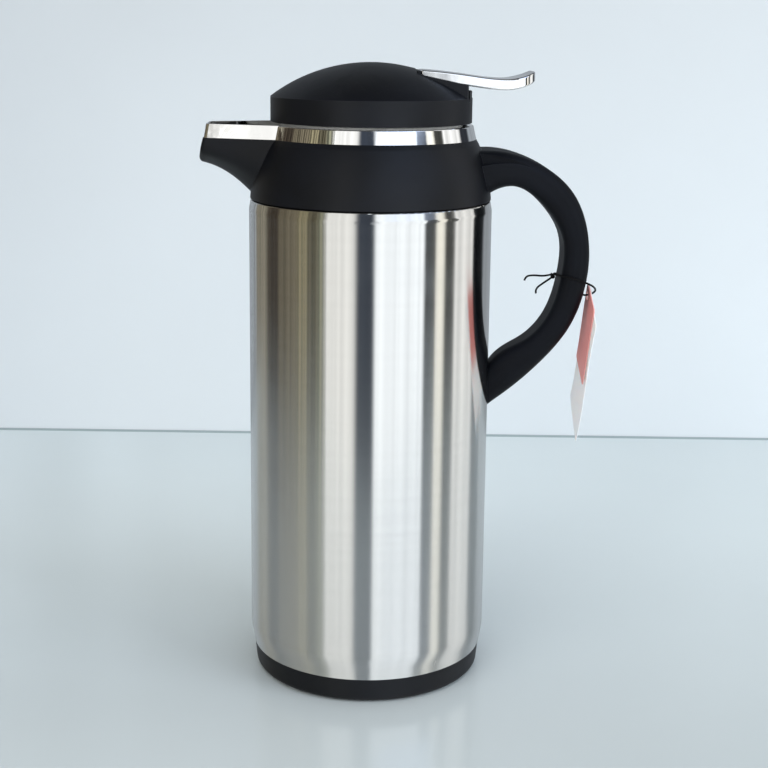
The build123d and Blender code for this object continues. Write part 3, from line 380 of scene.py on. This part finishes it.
def stage_plane(name, size, centre, turn, colour, roughness, mirror_share, axis, painted_light):
    """A large flat surface of the stage, with a faint cloudy tone under painted light that fades along
    one axis.
    """
    bpy.ops.object.select_all(action="DESELECT")
    bpy.ops.mesh.primitive_plane_add(size=1, location=centre, rotation=turn)
    plane = bpy.context.object
    plane.name = name
    plane.scale = (*size, 1)
    bpy.ops.object.transform_apply(location=True, rotation=True, scale=True)
    material, tree, shader, output = new_material(name + "_finish")
    shader.inputs["Roughness"].default_value = roughness
    place = tree.nodes.new("ShaderNodeTexCoord").outputs["Object"]
    apart = tree.nodes.new("ShaderNodeSeparateXYZ")
    tree.links.new(place, apart.inputs["Vector"])
    clouds = noise(tree, place, CLOUD_SIZE, CLOUD_DETAIL)
    dark = tuple(value * (1 - CLOUD_DEPTH) for value in colour)
    pale = tuple(value * (1 + CLOUD_DEPTH) for value in colour)
    # painted light: the colour is made brighter and darker along one axis, for the fall-off of the
    # window's light
    painted_lit_colour = add_node(tree, "ShaderNodeVectorMath", operation="SCALE")
    join(tree, (between(tree, clouds, dark, pale), painted_lit_colour.inputs[0]),
         (remap(tree, apart.outputs[axis], *painted_light), painted_lit_colour.inputs["Scale"]),
         (painted_lit_colour.outputs["Vector"], shader.inputs["Base Color"]))
    see_through_back(tree, shader, output, mirror_share)
    plane.data.materials.append(material)
    return plane


WALL_Y = 0.443
WALL_SIZE = (4.0, 2.4)
WALL_TURN = (pi / 2, 0, radians(-2.1))
GAP_SHADE_HEIGHT = 1.9 * MM
GAP_SHADE_OFFSET = 0.3 * MM
TABLE_SIZE = (1.3, 0.95)
TABLE_END = WALL_Y + 0.08
FLOOR_DROP = 0.5 * MM
# from and to along the axis, in metres, and the painted brightness there
TABLE_PAINTED_LIGHT = (-0.20, 0.40, 0.83, 1.36)
WALL_PAINTED_LIGHT = (0.05, 0.50, 1.05, 0.86)
# roughness, and the share of mirror rays that go through
TABLE_GLOSS = (0.17, 0.5)
FLOOR_GLOSS = (0.17, 0.0)
WALL_GLOSS = (0.6, 0.0)

stage_plane("table", TABLE_SIZE, (0, TABLE_END - TABLE_SIZE[1] / 2, 0), (0, 0, 0),
            TABLE_COLOUR, *TABLE_GLOSS, "Y", TABLE_PAINTED_LIGHT)
floor = stage_plane("floor", WALL_SIZE, (0, TABLE_END - WALL_SIZE[1] / 2, -FLOOR_DROP), (0, 0, 0),
                    TABLE_COLOUR, *FLOOR_GLOSS, "Y", TABLE_PAINTED_LIGHT)
wall = stage_plane("wall", WALL_SIZE, (0, WALL_Y, WALL_SIZE[1] / 2), WALL_TURN,
                   WALL_COLOUR, *WALL_GLOSS, "Z", WALL_PAINTED_LIGHT)
# A thin dark strip just in front of the foot of the wall is painted shade, for the shadow in the gap
# between the table and the wall.
stage_plane("joint", (WALL_SIZE[0], GAP_SHADE_HEIGHT), (0, WALL_Y - GAP_SHADE_OFFSET, GAP_SHADE_HEIGHT / 2), WALL_TURN,
            GAP_SHADE_COLOUR, *WALL_GLOSS, "Z", WALL_PAINTED_LIGHT)
floor.visible_glossy = False
wall.visible_glossy = False
print("wall at", WALL_Y)

# %% [markdown]
# ## The room
#
# Brushed steel shows the room as upright streaks, so the room matters more than for a painted thing. It
# could be modelled with walls and windows. The world is simpler: a plain room drawn by compass direction,
# as tall panels with soft edges. It has windows at the right, a dim warm wall with a view of a garden at
# the left, and a dark gap where the viewer stands. Above the window sill is sky, and the ceiling is dim.
# A noise along the compass breaks the panels up a little, as curtains, shelves and tree trunks do.

# %% The room
PANELS = (
    # from and to in degrees from the front towards the right, then the colour
    (-180, -140, (0.30, 0.33, 0.36)),
    (-136, -117, (0.24, 0.22, 0.17)),
    (-113, -98, (0.05, 0.04, 0.03)),
    (-94, -74, (0.15, 0.13, 0.09)),
    (-72, -63, (0.27, 0.24, 0.15)),
    (-61, -52, (0.10, 0.09, 0.06)),
    (-50, -46, (0.24, 0.24, 0.17)),
    (-42, -17, (0.98, 0.98, 0.95)),
    (-12, 2, (0.05, 0.06, 0.08)),
    (5, 50, (1.20, 1.26, 1.30)),
    (52, 62, (0.04, 0.04, 0.035)),
    (64, 72, (1.15, 1.12, 1.00)),
    (74, 84, (0.06, 0.06, 0.055)),
    (87, 113, (0.95, 0.95, 0.93)),
    (116, 131, (0.03, 0.033, 0.04)),
    (136, 180, (0.32, 0.35, 0.38)),
)
CEILING = (0.07, 0.07, 0.07)
SKY = (1.15, 1.40, 1.9)
BACKGROUND = (0.72, 0.78, 0.81)
# Turns are in radians from the front towards the right, and heights are the Z of the direction.
CEILING_HEIGHTS = (0.5, 0.9)
SILL_HEIGHTS = (0.26, 0.42)
SKY_START = (0.05, 0.35)
SKY_END = (1.35, 1.05)
GARDEN_START = (-0.70, -0.74)
# from and to of the noise, and the brightness there
SHELF_RANGE = (0.25, 0.75, 0.76, 1.24)
TRUNK_RANGE = (0.47, 0.53, 0.55, 1.55)


def compass_noise(tree, turn, **settings):
    """A noise that changes only with the compass direction."""
    node = add_node(tree, "ShaderNodeTexNoise", noise_dimensions="1D", **settings)
    tree.links.new(turn, node.inputs["W"])
    return node.outputs["Fac"]


world = bpy.data.worlds.new("room")
bpy.context.scene.world = world
world.use_nodes = True
tree = world.node_tree
tree.nodes.clear()
direction = tree.nodes.new("ShaderNodeTexCoord")
axes = tree.nodes.new("ShaderNodeSeparateXYZ")
compass = add_node(tree, "ShaderNodeMath", operation="ARCTAN2")
turn = compass.outputs[0]
height = axes.outputs["Z"]
join(tree, (direction.outputs["Generated"], axes.inputs["Vector"]),
     (axes.outputs["X"], compass.inputs[0]),
     (multiply(tree, axes.outputs["Y"], -1), compass.inputs[1]))

panels = tree.nodes.new("ShaderNodeValToRGB")
stops = panels.color_ramp.elements
stops[0].color = (*PANELS[0][2], 1)
stops[-1].color = (*PANELS[-1][2], 1)
for start, end, colour in PANELS:
    for angle in (start, end):
        if abs(angle) < 180:
            stops.new((angle + 180) / 360).color = (*colour, 1)
tree.links.new(remap(tree, turn, -pi, pi, kind="LINEAR"), panels.inputs["Fac"])

shelves = compass_noise(tree, turn, Scale=9.0, Detail=5.0, Roughness=0.6)
trunks = compass_noise(tree, turn, Scale=26.0, Detail=1.0)
garden = remap(tree, turn, *GARDEN_START, kind="LINEAR")
fence = between(tree, garden, 1.0, remap(tree, trunks, *TRUNK_RANGE, kind="LINEAR"))
varied = add_node(tree, "ShaderNodeVectorMath", operation="SCALE")
join(tree, (panels.outputs["Color"], varied.inputs[0]),
     (multiply(tree, fence, remap(tree, shelves, *SHELF_RANGE, kind="LINEAR")), varied.inputs["Scale"]))

beside = multiply(tree, remap(tree, turn, *SKY_START), remap(tree, turn, *SKY_END))
open_air = multiply(tree, remap(tree, height, *SILL_HEIGHTS), beside)
room = between(tree, open_air, varied.outputs["Vector"], SKY)
room = between(tree, remap(tree, height, *CEILING_HEIGHTS), room, CEILING)
rays = tree.nodes.new("ShaderNodeLightPath")
light = tree.nodes.new("ShaderNodeBackground")
world_output = tree.nodes.new("ShaderNodeOutputWorld")
join(tree, (between(tree, rays.outputs["Is Camera Ray"], room, BACKGROUND), light.inputs["Color"]),
     (light.outputs["Background"], world_output.inputs["Surface"]))
print("room panels:", len(PANELS))

# %% [markdown]
# ## The lamps
#
# The room alone gives a soft light from all sides. Three large rectangular lamps add a direction to it: a
# broad one above, one at the right that also lights the wall, and a weak one at the front left that
# reaches the cards behind the body. Metal would show each lamp as a hard rectangle, so they are hidden
# from mirror rays, and the metal shows only the room.

# %% The lamps
LAMPS = (
    # name, place, target, size, power, colour
    ("lamp_above", (0.2, -0.1, 1.9), (0.05, 0.1, 0.0), (2.2, 1.6), 15.5, (1, 1, 1)),
    ("lamp_right", (1.0, -0.6, 0.5), (0.35, 0.44, 0.10), (0.8, 0.8), 8, (0.96, 0.99, 1.03)),
    ("lamp_left", (-0.2, -0.45, 0.30), (0.114, 0.0, 0.17), (0.5, 0.5), 1.7, (1, 1, 1)),
)
for name, place, target, size, power, colour in LAMPS:
    bpy.ops.object.light_add(type="AREA", location=place)
    lamp = bpy.context.object
    lamp.name = name
    lamp.data.shape = "RECTANGLE"
    lamp.data.size, lamp.data.size_y = size
    lamp.data.energy = power
    lamp.data.color = colour
    lamp.rotation_euler = (Vector(target) - Vector(place)).to_track_quat("-Z", "Y").to_euler()
    lamp.visible_camera = False
    lamp.visible_glossy = False
print("lamps:", len(LAMPS))

# %% [markdown]
# ## Tools for the finishes
#
# Every finish is one Principled shader, with patterns that steer its colour, roughness and height. A
# pattern that several finishes need, such as turning lines or dust, is a node group. It is built once,
# and each finish places it with its own values. The patterns read Object coordinates. Those are metres
# on the jug itself, so that a pattern keeps its real size on every part and moves with it. What is the
# same all over a surface, such as metalness, is simply set on the shader.

# %% Helpers for groups and finishes
def new_group(name, inputs, outputs):
    """An empty node group with named sockets; an input without a value is a place in space."""
    group = bpy.data.node_groups.new(name, "ShaderNodeTree")
    for label, value in inputs.items():
        kind = "NodeSocketVector" if value is None else "NodeSocketFloat"
        socket = group.interface.new_socket(label, in_out="INPUT", socket_type=kind)
        if value is not None:
            socket.default_value = value
    for label in outputs:
        group.interface.new_socket(label, in_out="OUTPUT", socket_type="NodeSocketFloat")
    given = group.nodes.new("NodeGroupInput").outputs
    made = group.nodes.new("NodeGroupOutput").inputs
    return group, given, made


def place_group(tree, group, **values):
    """A group in a finish. It reads the jug's own coordinates, and its other inputs get values."""
    node = tree.nodes.new("ShaderNodeGroup")
    node.node_tree = group
    if "Place" in node.inputs:
        place = tree.nodes.get("place") or tree.nodes.new("ShaderNodeTexCoord")
        place.name = "place"
        tree.links.new(place.outputs["Object"], node.inputs["Place"])
    for name, value in values.items():
        node.inputs[name].default_value = value
    return node.outputs


def raise_surface(tree, shader, height, depth):
    """Tilts the shader's normal by a pattern of heights, from nothing to depth metres."""
    bump = add_node(tree, "ShaderNodeBump", Distance=depth)
    join(tree, (height, bump.inputs["Height"]), (bump.outputs["Normal"], shader.inputs["Normal"]))


def new_finish(name, **constants):
    """A new material, with the shader inputs that are the same all over it."""
    material, tree, shader, output = new_material(name)
    for label, value in constants.items():
        shader.inputs[label.replace("_", " ")].default_value = value
    return material, tree, shader


finishes = {}

# %% [markdown]
# ### Turning lines
#
# A casing is polished while it spins, so that its fine lines run round it. They are a noise that is
# stretched: its patches are centimetres long round the body and a fraction of a millimetre high. A
# second one, less stretched, gives the broader bands that a belt leaves.

# %% Build the turning lines
LINES_PER_METRE = 2600.0
PATCHES_ROUND = 14.0
BAND_SHARE = 0.11
SOFT_CUT = (0.3, 0.7)

turned_lines, given, made = new_group(
    "turned_lines", {"Place": None, "Lines": LINES_PER_METRE}, ("Height", "Bands"))
tree = turned_lines
stretch = add_node(tree, "ShaderNodeCombineXYZ", X=PATCHES_ROUND, Y=PATCHES_ROUND)
close = add_node(tree, "ShaderNodeVectorMath", operation="MULTIPLY")
broad = add_node(tree, "ShaderNodeVectorMath", operation="SCALE", Scale=BAND_SHARE)
join(tree, (given["Lines"], stretch.inputs["Z"]), (given["Place"], close.inputs[0]),
     (stretch.outputs["Vector"], close.inputs[1]), (close.outputs["Vector"], broad.inputs[0]))
join(tree, (noise(tree, close.outputs["Vector"], 1.0, 3.0, Roughness=0.65), made["Height"]),
     (remap(tree, noise(tree, broad.outputs["Vector"], 1.0), *SOFT_CUT), made["Bands"]))
print("group:", turned_lines.name)

# %% [markdown]
# ### Smears and scratches
#
# Smooth metal shows where hands were: dull patches with soft, dragged edges. A noise with some
# distortion is cut off above a share, which gives islands. Scratches are the same idea on a noise that is
# pulled out very long, in two directions, and cut off high up, so that only a few thin lines stay.

# %% Build the smears and the scratches
SMEAR_HARDNESS = 6.0
SCRATCH_STRETCHES = (
    # turn of the lines, and how often they change per metre along X, Y and Z
    ((0.3, 0.2, 0.7), (22, 2400, 22)),
    ((-0.5, 0.4, -0.9), (18, 1900, 18)),
)
SCRATCH_CUT = (0.70, 0.76)
SCRATCHED_SIZE, SCRATCHED_CUT = 30.0, (0.45, 0.6)

hand_smears, given, made = new_group(
    "hand_smears", {"Place": None, "Size": 25.0, "Share": 0.5}, ("Mask",))
tree = hand_smears
patches = noise(tree, given["Place"], given["Size"], 4.0, Roughness=0.55, Distortion=0.9)
edge = add_node(tree, "ShaderNodeMath", operation="SUBTRACT")
soft = add_node(tree, "ShaderNodeMath", operation="MULTIPLY", use_clamp=True)
soft.inputs[1].default_value = SMEAR_HARDNESS
join(tree, (patches, edge.inputs[0]), (given["Share"], edge.inputs[1]),
     (edge.outputs[0], soft.inputs[0]), (soft.outputs[0], made["Mask"]))

fine_scratches, given, made = new_group("fine_scratches", {"Place": None}, ("Mask",))
tree = fine_scratches
lines = []
for angles, stretch in SCRATCH_STRETCHES:
    mapping = add_node(tree, "ShaderNodeMapping", Rotation=angles, Scale=stretch)
    tree.links.new(given["Place"], mapping.inputs["Vector"])
    lines.append(remap(tree, noise(tree, mapping.outputs["Vector"], 1.0, 1.0), *SCRATCH_CUT))
either = add_node(tree, "ShaderNodeMath", operation="MAXIMUM")
join(tree, (lines[0], either.inputs[0]), (lines[1], either.inputs[1]))
patches = remap(tree, noise(tree, given["Place"], SCRATCHED_SIZE), *SCRATCHED_CUT)
join(tree, (multiply(tree, either.outputs[0], patches), made["Mask"]))
print("groups:", hand_smears.name, fine_scratches.name)

# %% [markdown]
# ### Moulded skin, edge wear and sheen, and dust
#
# A plastic moulding has a fine grain from the etched mould, and a slow change of gloss where the melt
# cooled unevenly. Its edges get polished by hands, and on some finishes they also carry a painted sheen.
# The Bevel node finds them: it rounds the normal near an edge, and where that normal leaves the true one
# there is an edge. Dust lies on what faces up.

# %% Build the skin, the edges and the dust
GLOSS_SIZE = 38.0
EDGE_SAMPLES = 4
EDGE_CUT = (0.88, 0.995)
DUST_SLOPE = (0.35, 1.0)
SPECK_SIZE, SPECK_CUT = 1400.0, (0.5, 0.66)
FILM_SIZE, FILM_RANGE = 55.0, (0.35, 0.75, 0.15, 1.0)

moulded_skin, given, made = new_group(
    "moulded_skin", {"Place": None, "Grain": 2300.0}, ("Height", "Gloss"))
tree = moulded_skin
join(tree, (noise(tree, given["Place"], given["Grain"], 3.0, Roughness=0.6), made["Height"]),
     (remap(tree, noise(tree, given["Place"], GLOSS_SIZE, 3.0), *SOFT_CUT), made["Gloss"]))

edge_wear_and_sheen, given, made = new_group("edge_wear_and_sheen", {"Width": 0.0006}, ("Mask",))
tree = edge_wear_and_sheen
rounded = add_node(tree, "ShaderNodeBevel", samples=EDGE_SAMPLES)
true_normal = tree.nodes.new("ShaderNodeNewGeometry")
likeness = add_node(tree, "ShaderNodeVectorMath", operation="DOT_PRODUCT")
join(tree, (given["Width"], rounded.inputs["Radius"]), (rounded.outputs["Normal"], likeness.inputs[0]),
     (true_normal.outputs["Normal"], likeness.inputs[1]))
join(tree, (remap(tree, likeness.outputs["Value"], *EDGE_CUT, 1.0, 0.0), made["Mask"]))

settled_dust, given, made = new_group("settled_dust", {"Place": None, "Amount": 0.3}, ("Mask",))
tree = settled_dust
surface = tree.nodes.new("ShaderNodeNewGeometry")
facing = tree.nodes.new("ShaderNodeSeparateXYZ")
join(tree, (surface.outputs["Normal"], facing.inputs["Vector"]))
upward = remap(tree, facing.outputs["Z"], *DUST_SLOPE)
specks = remap(tree, noise(tree, given["Place"], SPECK_SIZE, 3.0), *SPECK_CUT)
film = remap(tree, noise(tree, given["Place"], FILM_SIZE, 3.0), *FILM_RANGE)
amount = multiply(tree, multiply(tree, upward, specks), film)
join(tree, (multiply(tree, amount, given["Amount"]), made["Mask"]))
print("groups:", moulded_skin.name, edge_wear_and_sheen.name, settled_dust.name)

# %% [markdown]
# ### Brushed steel
#
# The turning lines are far finer than what the eye can part, but together they spread each reflection up
# and down the body and hardly sideways, which is why the room shows as upright streaks. The anisotropic
# part of the shader does that, and the lines in the height only add a fine grain to it. Smears are a
# little duller. The foot of the casing, which slides on shelves, has a few scuffs.

# %% Finish the casing
STEEL_DARK = (0.763, 0.758, 0.743)
STEEL_LIGHT = (0.779, 0.774, 0.759)
STEEL_SCUFF = (0.55, 0.55, 0.54)
STEEL_SMOOTH, STEEL_DULL, STEEL_SMEARED, STEEL_SCUFFED = 0.158, 0.164, 0.18368, 0.30
STEEL_DEPTH = 0.0006 * MM
QUARTER_TURN = 0.25
SCUFF_HEIGHTS = (14 * MM, 34 * MM)

steel, tree, shader = new_finish(
    "brushed_steel", Metallic=1.0, Anisotropic=1.0, Anisotropic_Rotation=QUARTER_TURN)
lines = place_group(tree, turned_lines, Lines=LINES_PER_METRE)
smears = place_group(tree, hand_smears, Size=16.0, Share=0.50)
scratches = place_group(tree, fine_scratches)
height = tree.nodes.new("ShaderNodeSeparateXYZ")
join(tree, (tree.nodes["place"].outputs["Object"], height.inputs["Vector"]))
foot = remap(tree, height.outputs["Z"], *SCUFF_HEIGHTS, 1.0, 0.0)
scuffs = multiply(tree, scratches["Mask"], foot)
colour = between(tree, lines["Bands"], STEEL_DARK, STEEL_LIGHT)
colour = between(tree, scuffs, colour, STEEL_SCUFF)
rough = between(tree, lines["Bands"], STEEL_SMOOTH, STEEL_DULL)
rough = between(tree, smears["Mask"], rough, STEEL_SMEARED)
rough = between(tree, scuffs, rough, STEEL_SCUFFED)
join(tree, (colour, shader.inputs["Base Color"]), (rough, shader.inputs["Roughness"]))
raise_surface(tree, shader, lines["Height"], STEEL_DEPTH)
finishes["steel"] = steel

# The screws, the spring and the lever's pin are turned steel as well, but plainer and duller.
TURNED_DARK = (0.56, 0.56, 0.56)
TURNED_LIGHT = (0.66, 0.66, 0.65)
TURNED_SMOOTH, TURNED_DULL, TURNED_EDGE = 0.22, 0.34, 0.15
TURNED_DEPTH = 0.004 * MM

stainless, tree, shader = new_finish("turned_stainless", Metallic=1.0)
lines = place_group(tree, turned_lines, Lines=4200.0)
edges = place_group(tree, edge_wear_and_sheen, Width=0.3 * MM)
colour = between(tree, lines["Bands"], TURNED_DARK, TURNED_LIGHT)
rough = between(tree, lines["Bands"], TURNED_SMOOTH, TURNED_DULL)
rough = between(tree, edges["Mask"], rough, TURNED_EDGE)
join(tree, (colour, shader.inputs["Base Color"]), (rough, shader.inputs["Roughness"]))
raise_surface(tree, shader, lines["Height"], TURNED_DEPTH)
finishes["stainless"] = stainless
print("finishes:", sorted(finishes))

# %% [markdown]
# ### Bright plating
#
# The trim ring, the spout's sides and the lever are plastic with a bright plated skin. Plating is as
# smooth as the moulding below it, and that is never quite flat: a slow waviness bends the reflections.
# Over it lie smears from fingers and a few hairline scratches, which show as slightly duller metal.

# %% Finish the plated parts
PLATE_CLEAN = (0.95, 0.95, 0.955)
PLATE_SMEARED = (0.91, 0.905, 0.90)
PLATE_EDGE = (0.93, 0.925, 0.92)
PLATE_SMOOTH, PLATE_DULL, PLATE_SCRATCHED = 0.035, 0.13, 0.22
PLATE_WAVES, PLATE_DEPTH = 85.0, 0.05 * MM

plating, tree, shader = new_finish("bright_plating", Metallic=1.0)
smears = place_group(tree, hand_smears, Size=60.0, Share=0.52)
scratches = place_group(tree, fine_scratches)
edges = place_group(tree, edge_wear_and_sheen, Width=0.4 * MM)
place = tree.nodes["place"].outputs["Object"]
colour = between(tree, smears["Mask"], PLATE_CLEAN, PLATE_SMEARED)
colour = between(tree, edges["Mask"], colour, PLATE_EDGE)
rough = between(tree, smears["Mask"], PLATE_SMOOTH, PLATE_DULL)
rough = between(tree, scratches["Mask"], rough, PLATE_SCRATCHED)
join(tree, (colour, shader.inputs["Base Color"]), (rough, shader.inputs["Roughness"]))
raise_surface(tree, shader, noise(tree, place, PLATE_WAVES), PLATE_DEPTH)
finishes["chrome"] = plating

# %% [markdown]
# ### Black plastic
#
# The lid, the collar, the handle and the base are black polypropylene with a satin etch. It isn't pure
# black: it is a very dark grey, with a touch of blue painted into its colour as a sheen of cool light.
# The gloss wanders slowly, the edges are a little shinier and are painted paler as a sheen, and dust
# shows at once on anything that faces up. The handle is moulded in a softer, matter grade that grips
# better, so the same recipe is run twice, with other numbers.

# %% Finish the black mouldings
# The blue in these two colours is a painted sheen of cool light on a dark grey plastic.
BLACK_DEEP = (0.0026, 0.0031, 0.0046)
BLACK_PALE = (0.0038, 0.0047, 0.0074)
# the edge colour is a painted sheen: the edges are drawn paler, as where they catch the light
BLACK_EDGE_SHEEN = (0.0075, 0.0086, 0.0120)
DUST_COLOUR = (0.16, 0.16, 0.155)
DUST_ROUGH = 0.85
SMEAR_STRENGTH = 0.6
SMEAR_DULLS = 0.04
EDGE_SHINES = 0.10
BLACK_DEPTH = 0.012 * MM
BLACK_FINISHES = (
    # slot or part, name, refraction, smooth and dull gloss
    ("black_plastic", "satin_black_plastic", 1.38, 0.41, 0.48),
    ("handle", "matt_black_plastic", 1.24, 0.43, 0.52),
)
for key, name, refraction, smooth, dull in BLACK_FINISHES:
    material, tree, shader = new_finish(name, IOR=refraction)
    skin = place_group(tree, moulded_skin, Grain=2300.0)
    edges = place_group(tree, edge_wear_and_sheen, Width=0.6 * MM)
    dust = place_group(tree, settled_dust, Amount=0.08)
    smears = place_group(tree, hand_smears, Size=34.0, Share=0.52)
    colour = between(tree, skin["Gloss"], BLACK_DEEP, BLACK_PALE)
    # painted sheen: the edges are made paler
    colour = between(tree, edges["Mask"], colour, BLACK_EDGE_SHEEN)
    colour = between(tree, dust["Mask"], colour, DUST_COLOUR)
    rough = between(tree, skin["Gloss"], smooth, dull)
    rough = between(tree, multiply(tree, smears["Mask"], SMEAR_STRENGTH), rough, dull + SMEAR_DULLS)
    rough = between(tree, edges["Mask"], rough, smooth - EDGE_SHINES)
    rough = between(tree, dust["Mask"], rough, DUST_ROUGH)
    join(tree, (colour, shader.inputs["Base Color"]), (rough, shader.inputs["Roughness"]))
    raise_surface(tree, shader, skin["Height"], BLACK_DEPTH)
    finishes[key] = material
print("finishes:", sorted(finishes))

# %% [markdown]
# ### The parts inside and below
#
# These show when the lid is lifted or the jug lies on its side. The bottle is glass that is silvered on
# its inner side, so it is drawn as a mirror under a clear coat, with the uneven tone that a poured silver
# film has. The stopper is natural white plastic, its seals are milky silicone, and the foot is rubber,
# which is matt, picks up dust and wears pale at its edges.

# %% Finish the inner parts
SILVER_BRIGHT = (0.84, 0.85, 0.86)
SILVER_THIN = (0.72, 0.72, 0.69)
SILVER_SMOOTH, SILVER_DULL = 0.04, 0.12
GLASS_WAVES, GLASS_DEPTH = 40.0, 0.06 * MM

glass, tree, shader = new_finish("silvered_glass", Metallic=1.0, Coat_Weight=1.0, Coat_Roughness=0.02)
film = place_group(tree, hand_smears, Size=22.0, Share=0.46)
place = tree.nodes["place"].outputs["Object"]
colour = between(tree, film["Mask"], SILVER_BRIGHT, SILVER_THIN)
rough = between(tree, film["Mask"], SILVER_SMOOTH, SILVER_DULL)
join(tree, (colour, shader.inputs["Base Color"]), (rough, shader.inputs["Roughness"]))
raise_surface(tree, shader, noise(tree, place, GLASS_WAVES), GLASS_DEPTH)
finishes["glass"] = glass

SOFT_FINISHES = (
    # slot and name
    # deep, pale and edge colour
    # smooth and dull gloss, grain per metre, depth of the grain, dust
    ("rubber", "matt_rubber",
     (0.022, 0.022, 0.023), (0.036, 0.036, 0.036), (0.060, 0.060, 0.058),
     0.62, 0.80, 1500.0, 0.030 * MM, 0.5),
    ("silicone", "milky_silicone",
     (0.60, 0.60, 0.575), (0.68, 0.68, 0.66), (0.72, 0.72, 0.70),
     0.38, 0.55, 900.0, 0.015 * MM, 0.2),
    ("white_plastic", "natural_white_plastic",
     (0.66, 0.66, 0.635), (0.72, 0.72, 0.70), (0.76, 0.76, 0.74),
     0.34, 0.46, 2100.0, 0.010 * MM, 0.1),
)
WORN_GLOSS = 0.85
for slot, name, deep, pale, edge, smooth, dull, grain, depth, amount in SOFT_FINISHES:
    material, tree, shader = new_finish(name)
    skin = place_group(tree, moulded_skin, Grain=grain)
    edges = place_group(tree, edge_wear_and_sheen, Width=0.5 * MM)
    dust = place_group(tree, settled_dust, Amount=amount)
    colour = between(tree, skin["Gloss"], deep, pale)
    colour = between(tree, edges["Mask"], colour, edge)
    colour = between(tree, dust["Mask"], colour, DUST_COLOUR)
    rough = between(tree, skin["Gloss"], smooth, dull)
    rough = between(tree, edges["Mask"], rough, smooth * WORN_GLOSS)
    join(tree, (colour, shader.inputs["Base Color"]), (rough, shader.inputs["Roughness"]))
    raise_surface(tree, shader, skin["Height"], depth)
    finishes[slot] = material
print("finishes:", sorted(finishes))

# %% [markdown]
# ### Cord and card
#
# The cord is braided over an elastic core. Its strands cross at a slant, so the height is a pair of waves
# along and round it, drawn on the tube's own UV map, where U runs along the cord. Card is pressed fibre
# with a thin coat: the colour clouds a little with the fibres, and the coat shines softly. Some of the
# light that falls on the back of the white card soaks through it, which the subsurface weight stands for.

# %% Finish the cord and the cards
BRAID_STRANDS = 8.0
BRAID_PITCHES = 240.0
# the colour in the braid's grooves is painted shade, darker than on its crests
BRAID_GROOVE_SHADE = (0.0015, 0.0015, 0.0017)
BRAID_HIGH = (0.0050, 0.0050, 0.0055)
BRAID_SMOOTH, BRAID_DULL = 0.50, 0.75
BRAID_DEPTH = 0.06 * MM

braid, tree, shader = new_finish("braided_black_cord", IOR=1.28)
along = add_node(tree, "ShaderNodeUVMap", uv_map="UVMap")
apart = tree.nodes.new("ShaderNodeSeparateXYZ")
join(tree, (along.outputs["UV"], apart.inputs["Vector"]))
waves = []
for way in (1, -1):
    run = multiply(tree, apart.outputs["X"], BRAID_PITCHES * 2 * pi)
    slant = add_node(tree, "ShaderNodeMath", operation="MULTIPLY_ADD")
    slant.inputs[1].default_value = way * BRAID_STRANDS * pi
    wave = add_node(tree, "ShaderNodeMath", operation="SINE")
    join(tree, (apart.outputs["Y"], slant.inputs[0]), (run, slant.inputs[2]),
         (slant.outputs[0], wave.inputs[0]))
    waves.append(wave.outputs[0])
cross = remap(tree, multiply(tree, waves[0], waves[1]), -1.0, 1.0)
fluff = place_group(tree, moulded_skin, Grain=5200.0)
# painted shade: the colour is darker where the braid is low
colour = between(tree, cross, BRAID_GROOVE_SHADE, BRAID_HIGH)
rough = between(tree, fluff["Height"], BRAID_SMOOTH, BRAID_DULL)
join(tree, (colour, shader.inputs["Base Color"]), (rough, shader.inputs["Roughness"]))
raise_surface(tree, shader, cross, BRAID_DEPTH)
finishes["string"] = braid

CARD_EDGE = (0.86, 0.80, 0.78)
CARD_EDGE_STRENGTH = 0.6
CARD_SMOOTH, CARD_DULL = 0.38, 0.56
CARD_DEPTH = 0.010 * MM
CARD_SOAK = 2 * MM
CARD_SOAK_COLOURS = (1.0, 0.7, 0.6)
CARD_FINISHES = (
    # slot, name, how much light soaks through, deep and pale colour of the coat
    ("red_card", "salmon_card", 0.0, (0.95, 0.31, 0.28), (0.97, 0.38, 0.35)),
    ("white_card", "white_card", 0.8, (0.88, 0.91, 0.92), (0.92, 0.95, 0.955)),
)
for slot, name, soaking, deep, pale in CARD_FINISHES:
    material, tree, shader = new_finish(
        name, Subsurface_Weight=soaking, Subsurface_Scale=CARD_SOAK, Subsurface_Radius=CARD_SOAK_COLOURS)
    fibres = place_group(tree, moulded_skin, Grain=1700.0)
    edges = place_group(tree, edge_wear_and_sheen, Width=0.3 * MM)
    colour = between(tree, fibres["Gloss"], deep, pale)
    colour = between(tree, multiply(tree, edges["Mask"], CARD_EDGE_STRENGTH), colour, CARD_EDGE)
    rough = between(tree, fibres["Height"], CARD_SMOOTH, CARD_DULL)
    join(tree, (colour, shader.inputs["Base Color"]), (rough, shader.inputs["Roughness"]))
    raise_surface(tree, shader, fibres["Height"], CARD_DEPTH)
    finishes[slot] = material
print("finishes:", sorted(finishes))

# %% [markdown]
# ## Dress the parts
#
# The record of the model says which finish each solid part takes, by the name of a slot. The parts keep
# their meshes. Only the material in each slot is changed.

# %% Give every part its finish
slots = {part["node"]: part["material_slot"] for part in frame["record"]["subparts"]}
for name, node in frame["nodes"].items():
    for item in node.material_slots:
        item.material = finishes.get(name, finishes[slots[name]])
for piece, slot in (
    (tag_cord, "string"), (tag_knot, "string"), (red_tag, "red_card"), (white_tag, "white_card"),
):
    piece.data.materials.clear()
    piece.data.materials.append(finishes[slot])
print("dressed parts:", len(slots))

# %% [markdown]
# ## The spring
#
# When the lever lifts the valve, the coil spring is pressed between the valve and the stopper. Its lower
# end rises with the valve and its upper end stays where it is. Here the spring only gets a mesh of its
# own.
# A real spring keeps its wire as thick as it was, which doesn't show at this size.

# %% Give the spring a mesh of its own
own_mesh(frame["nodes"]["valve_spring"])
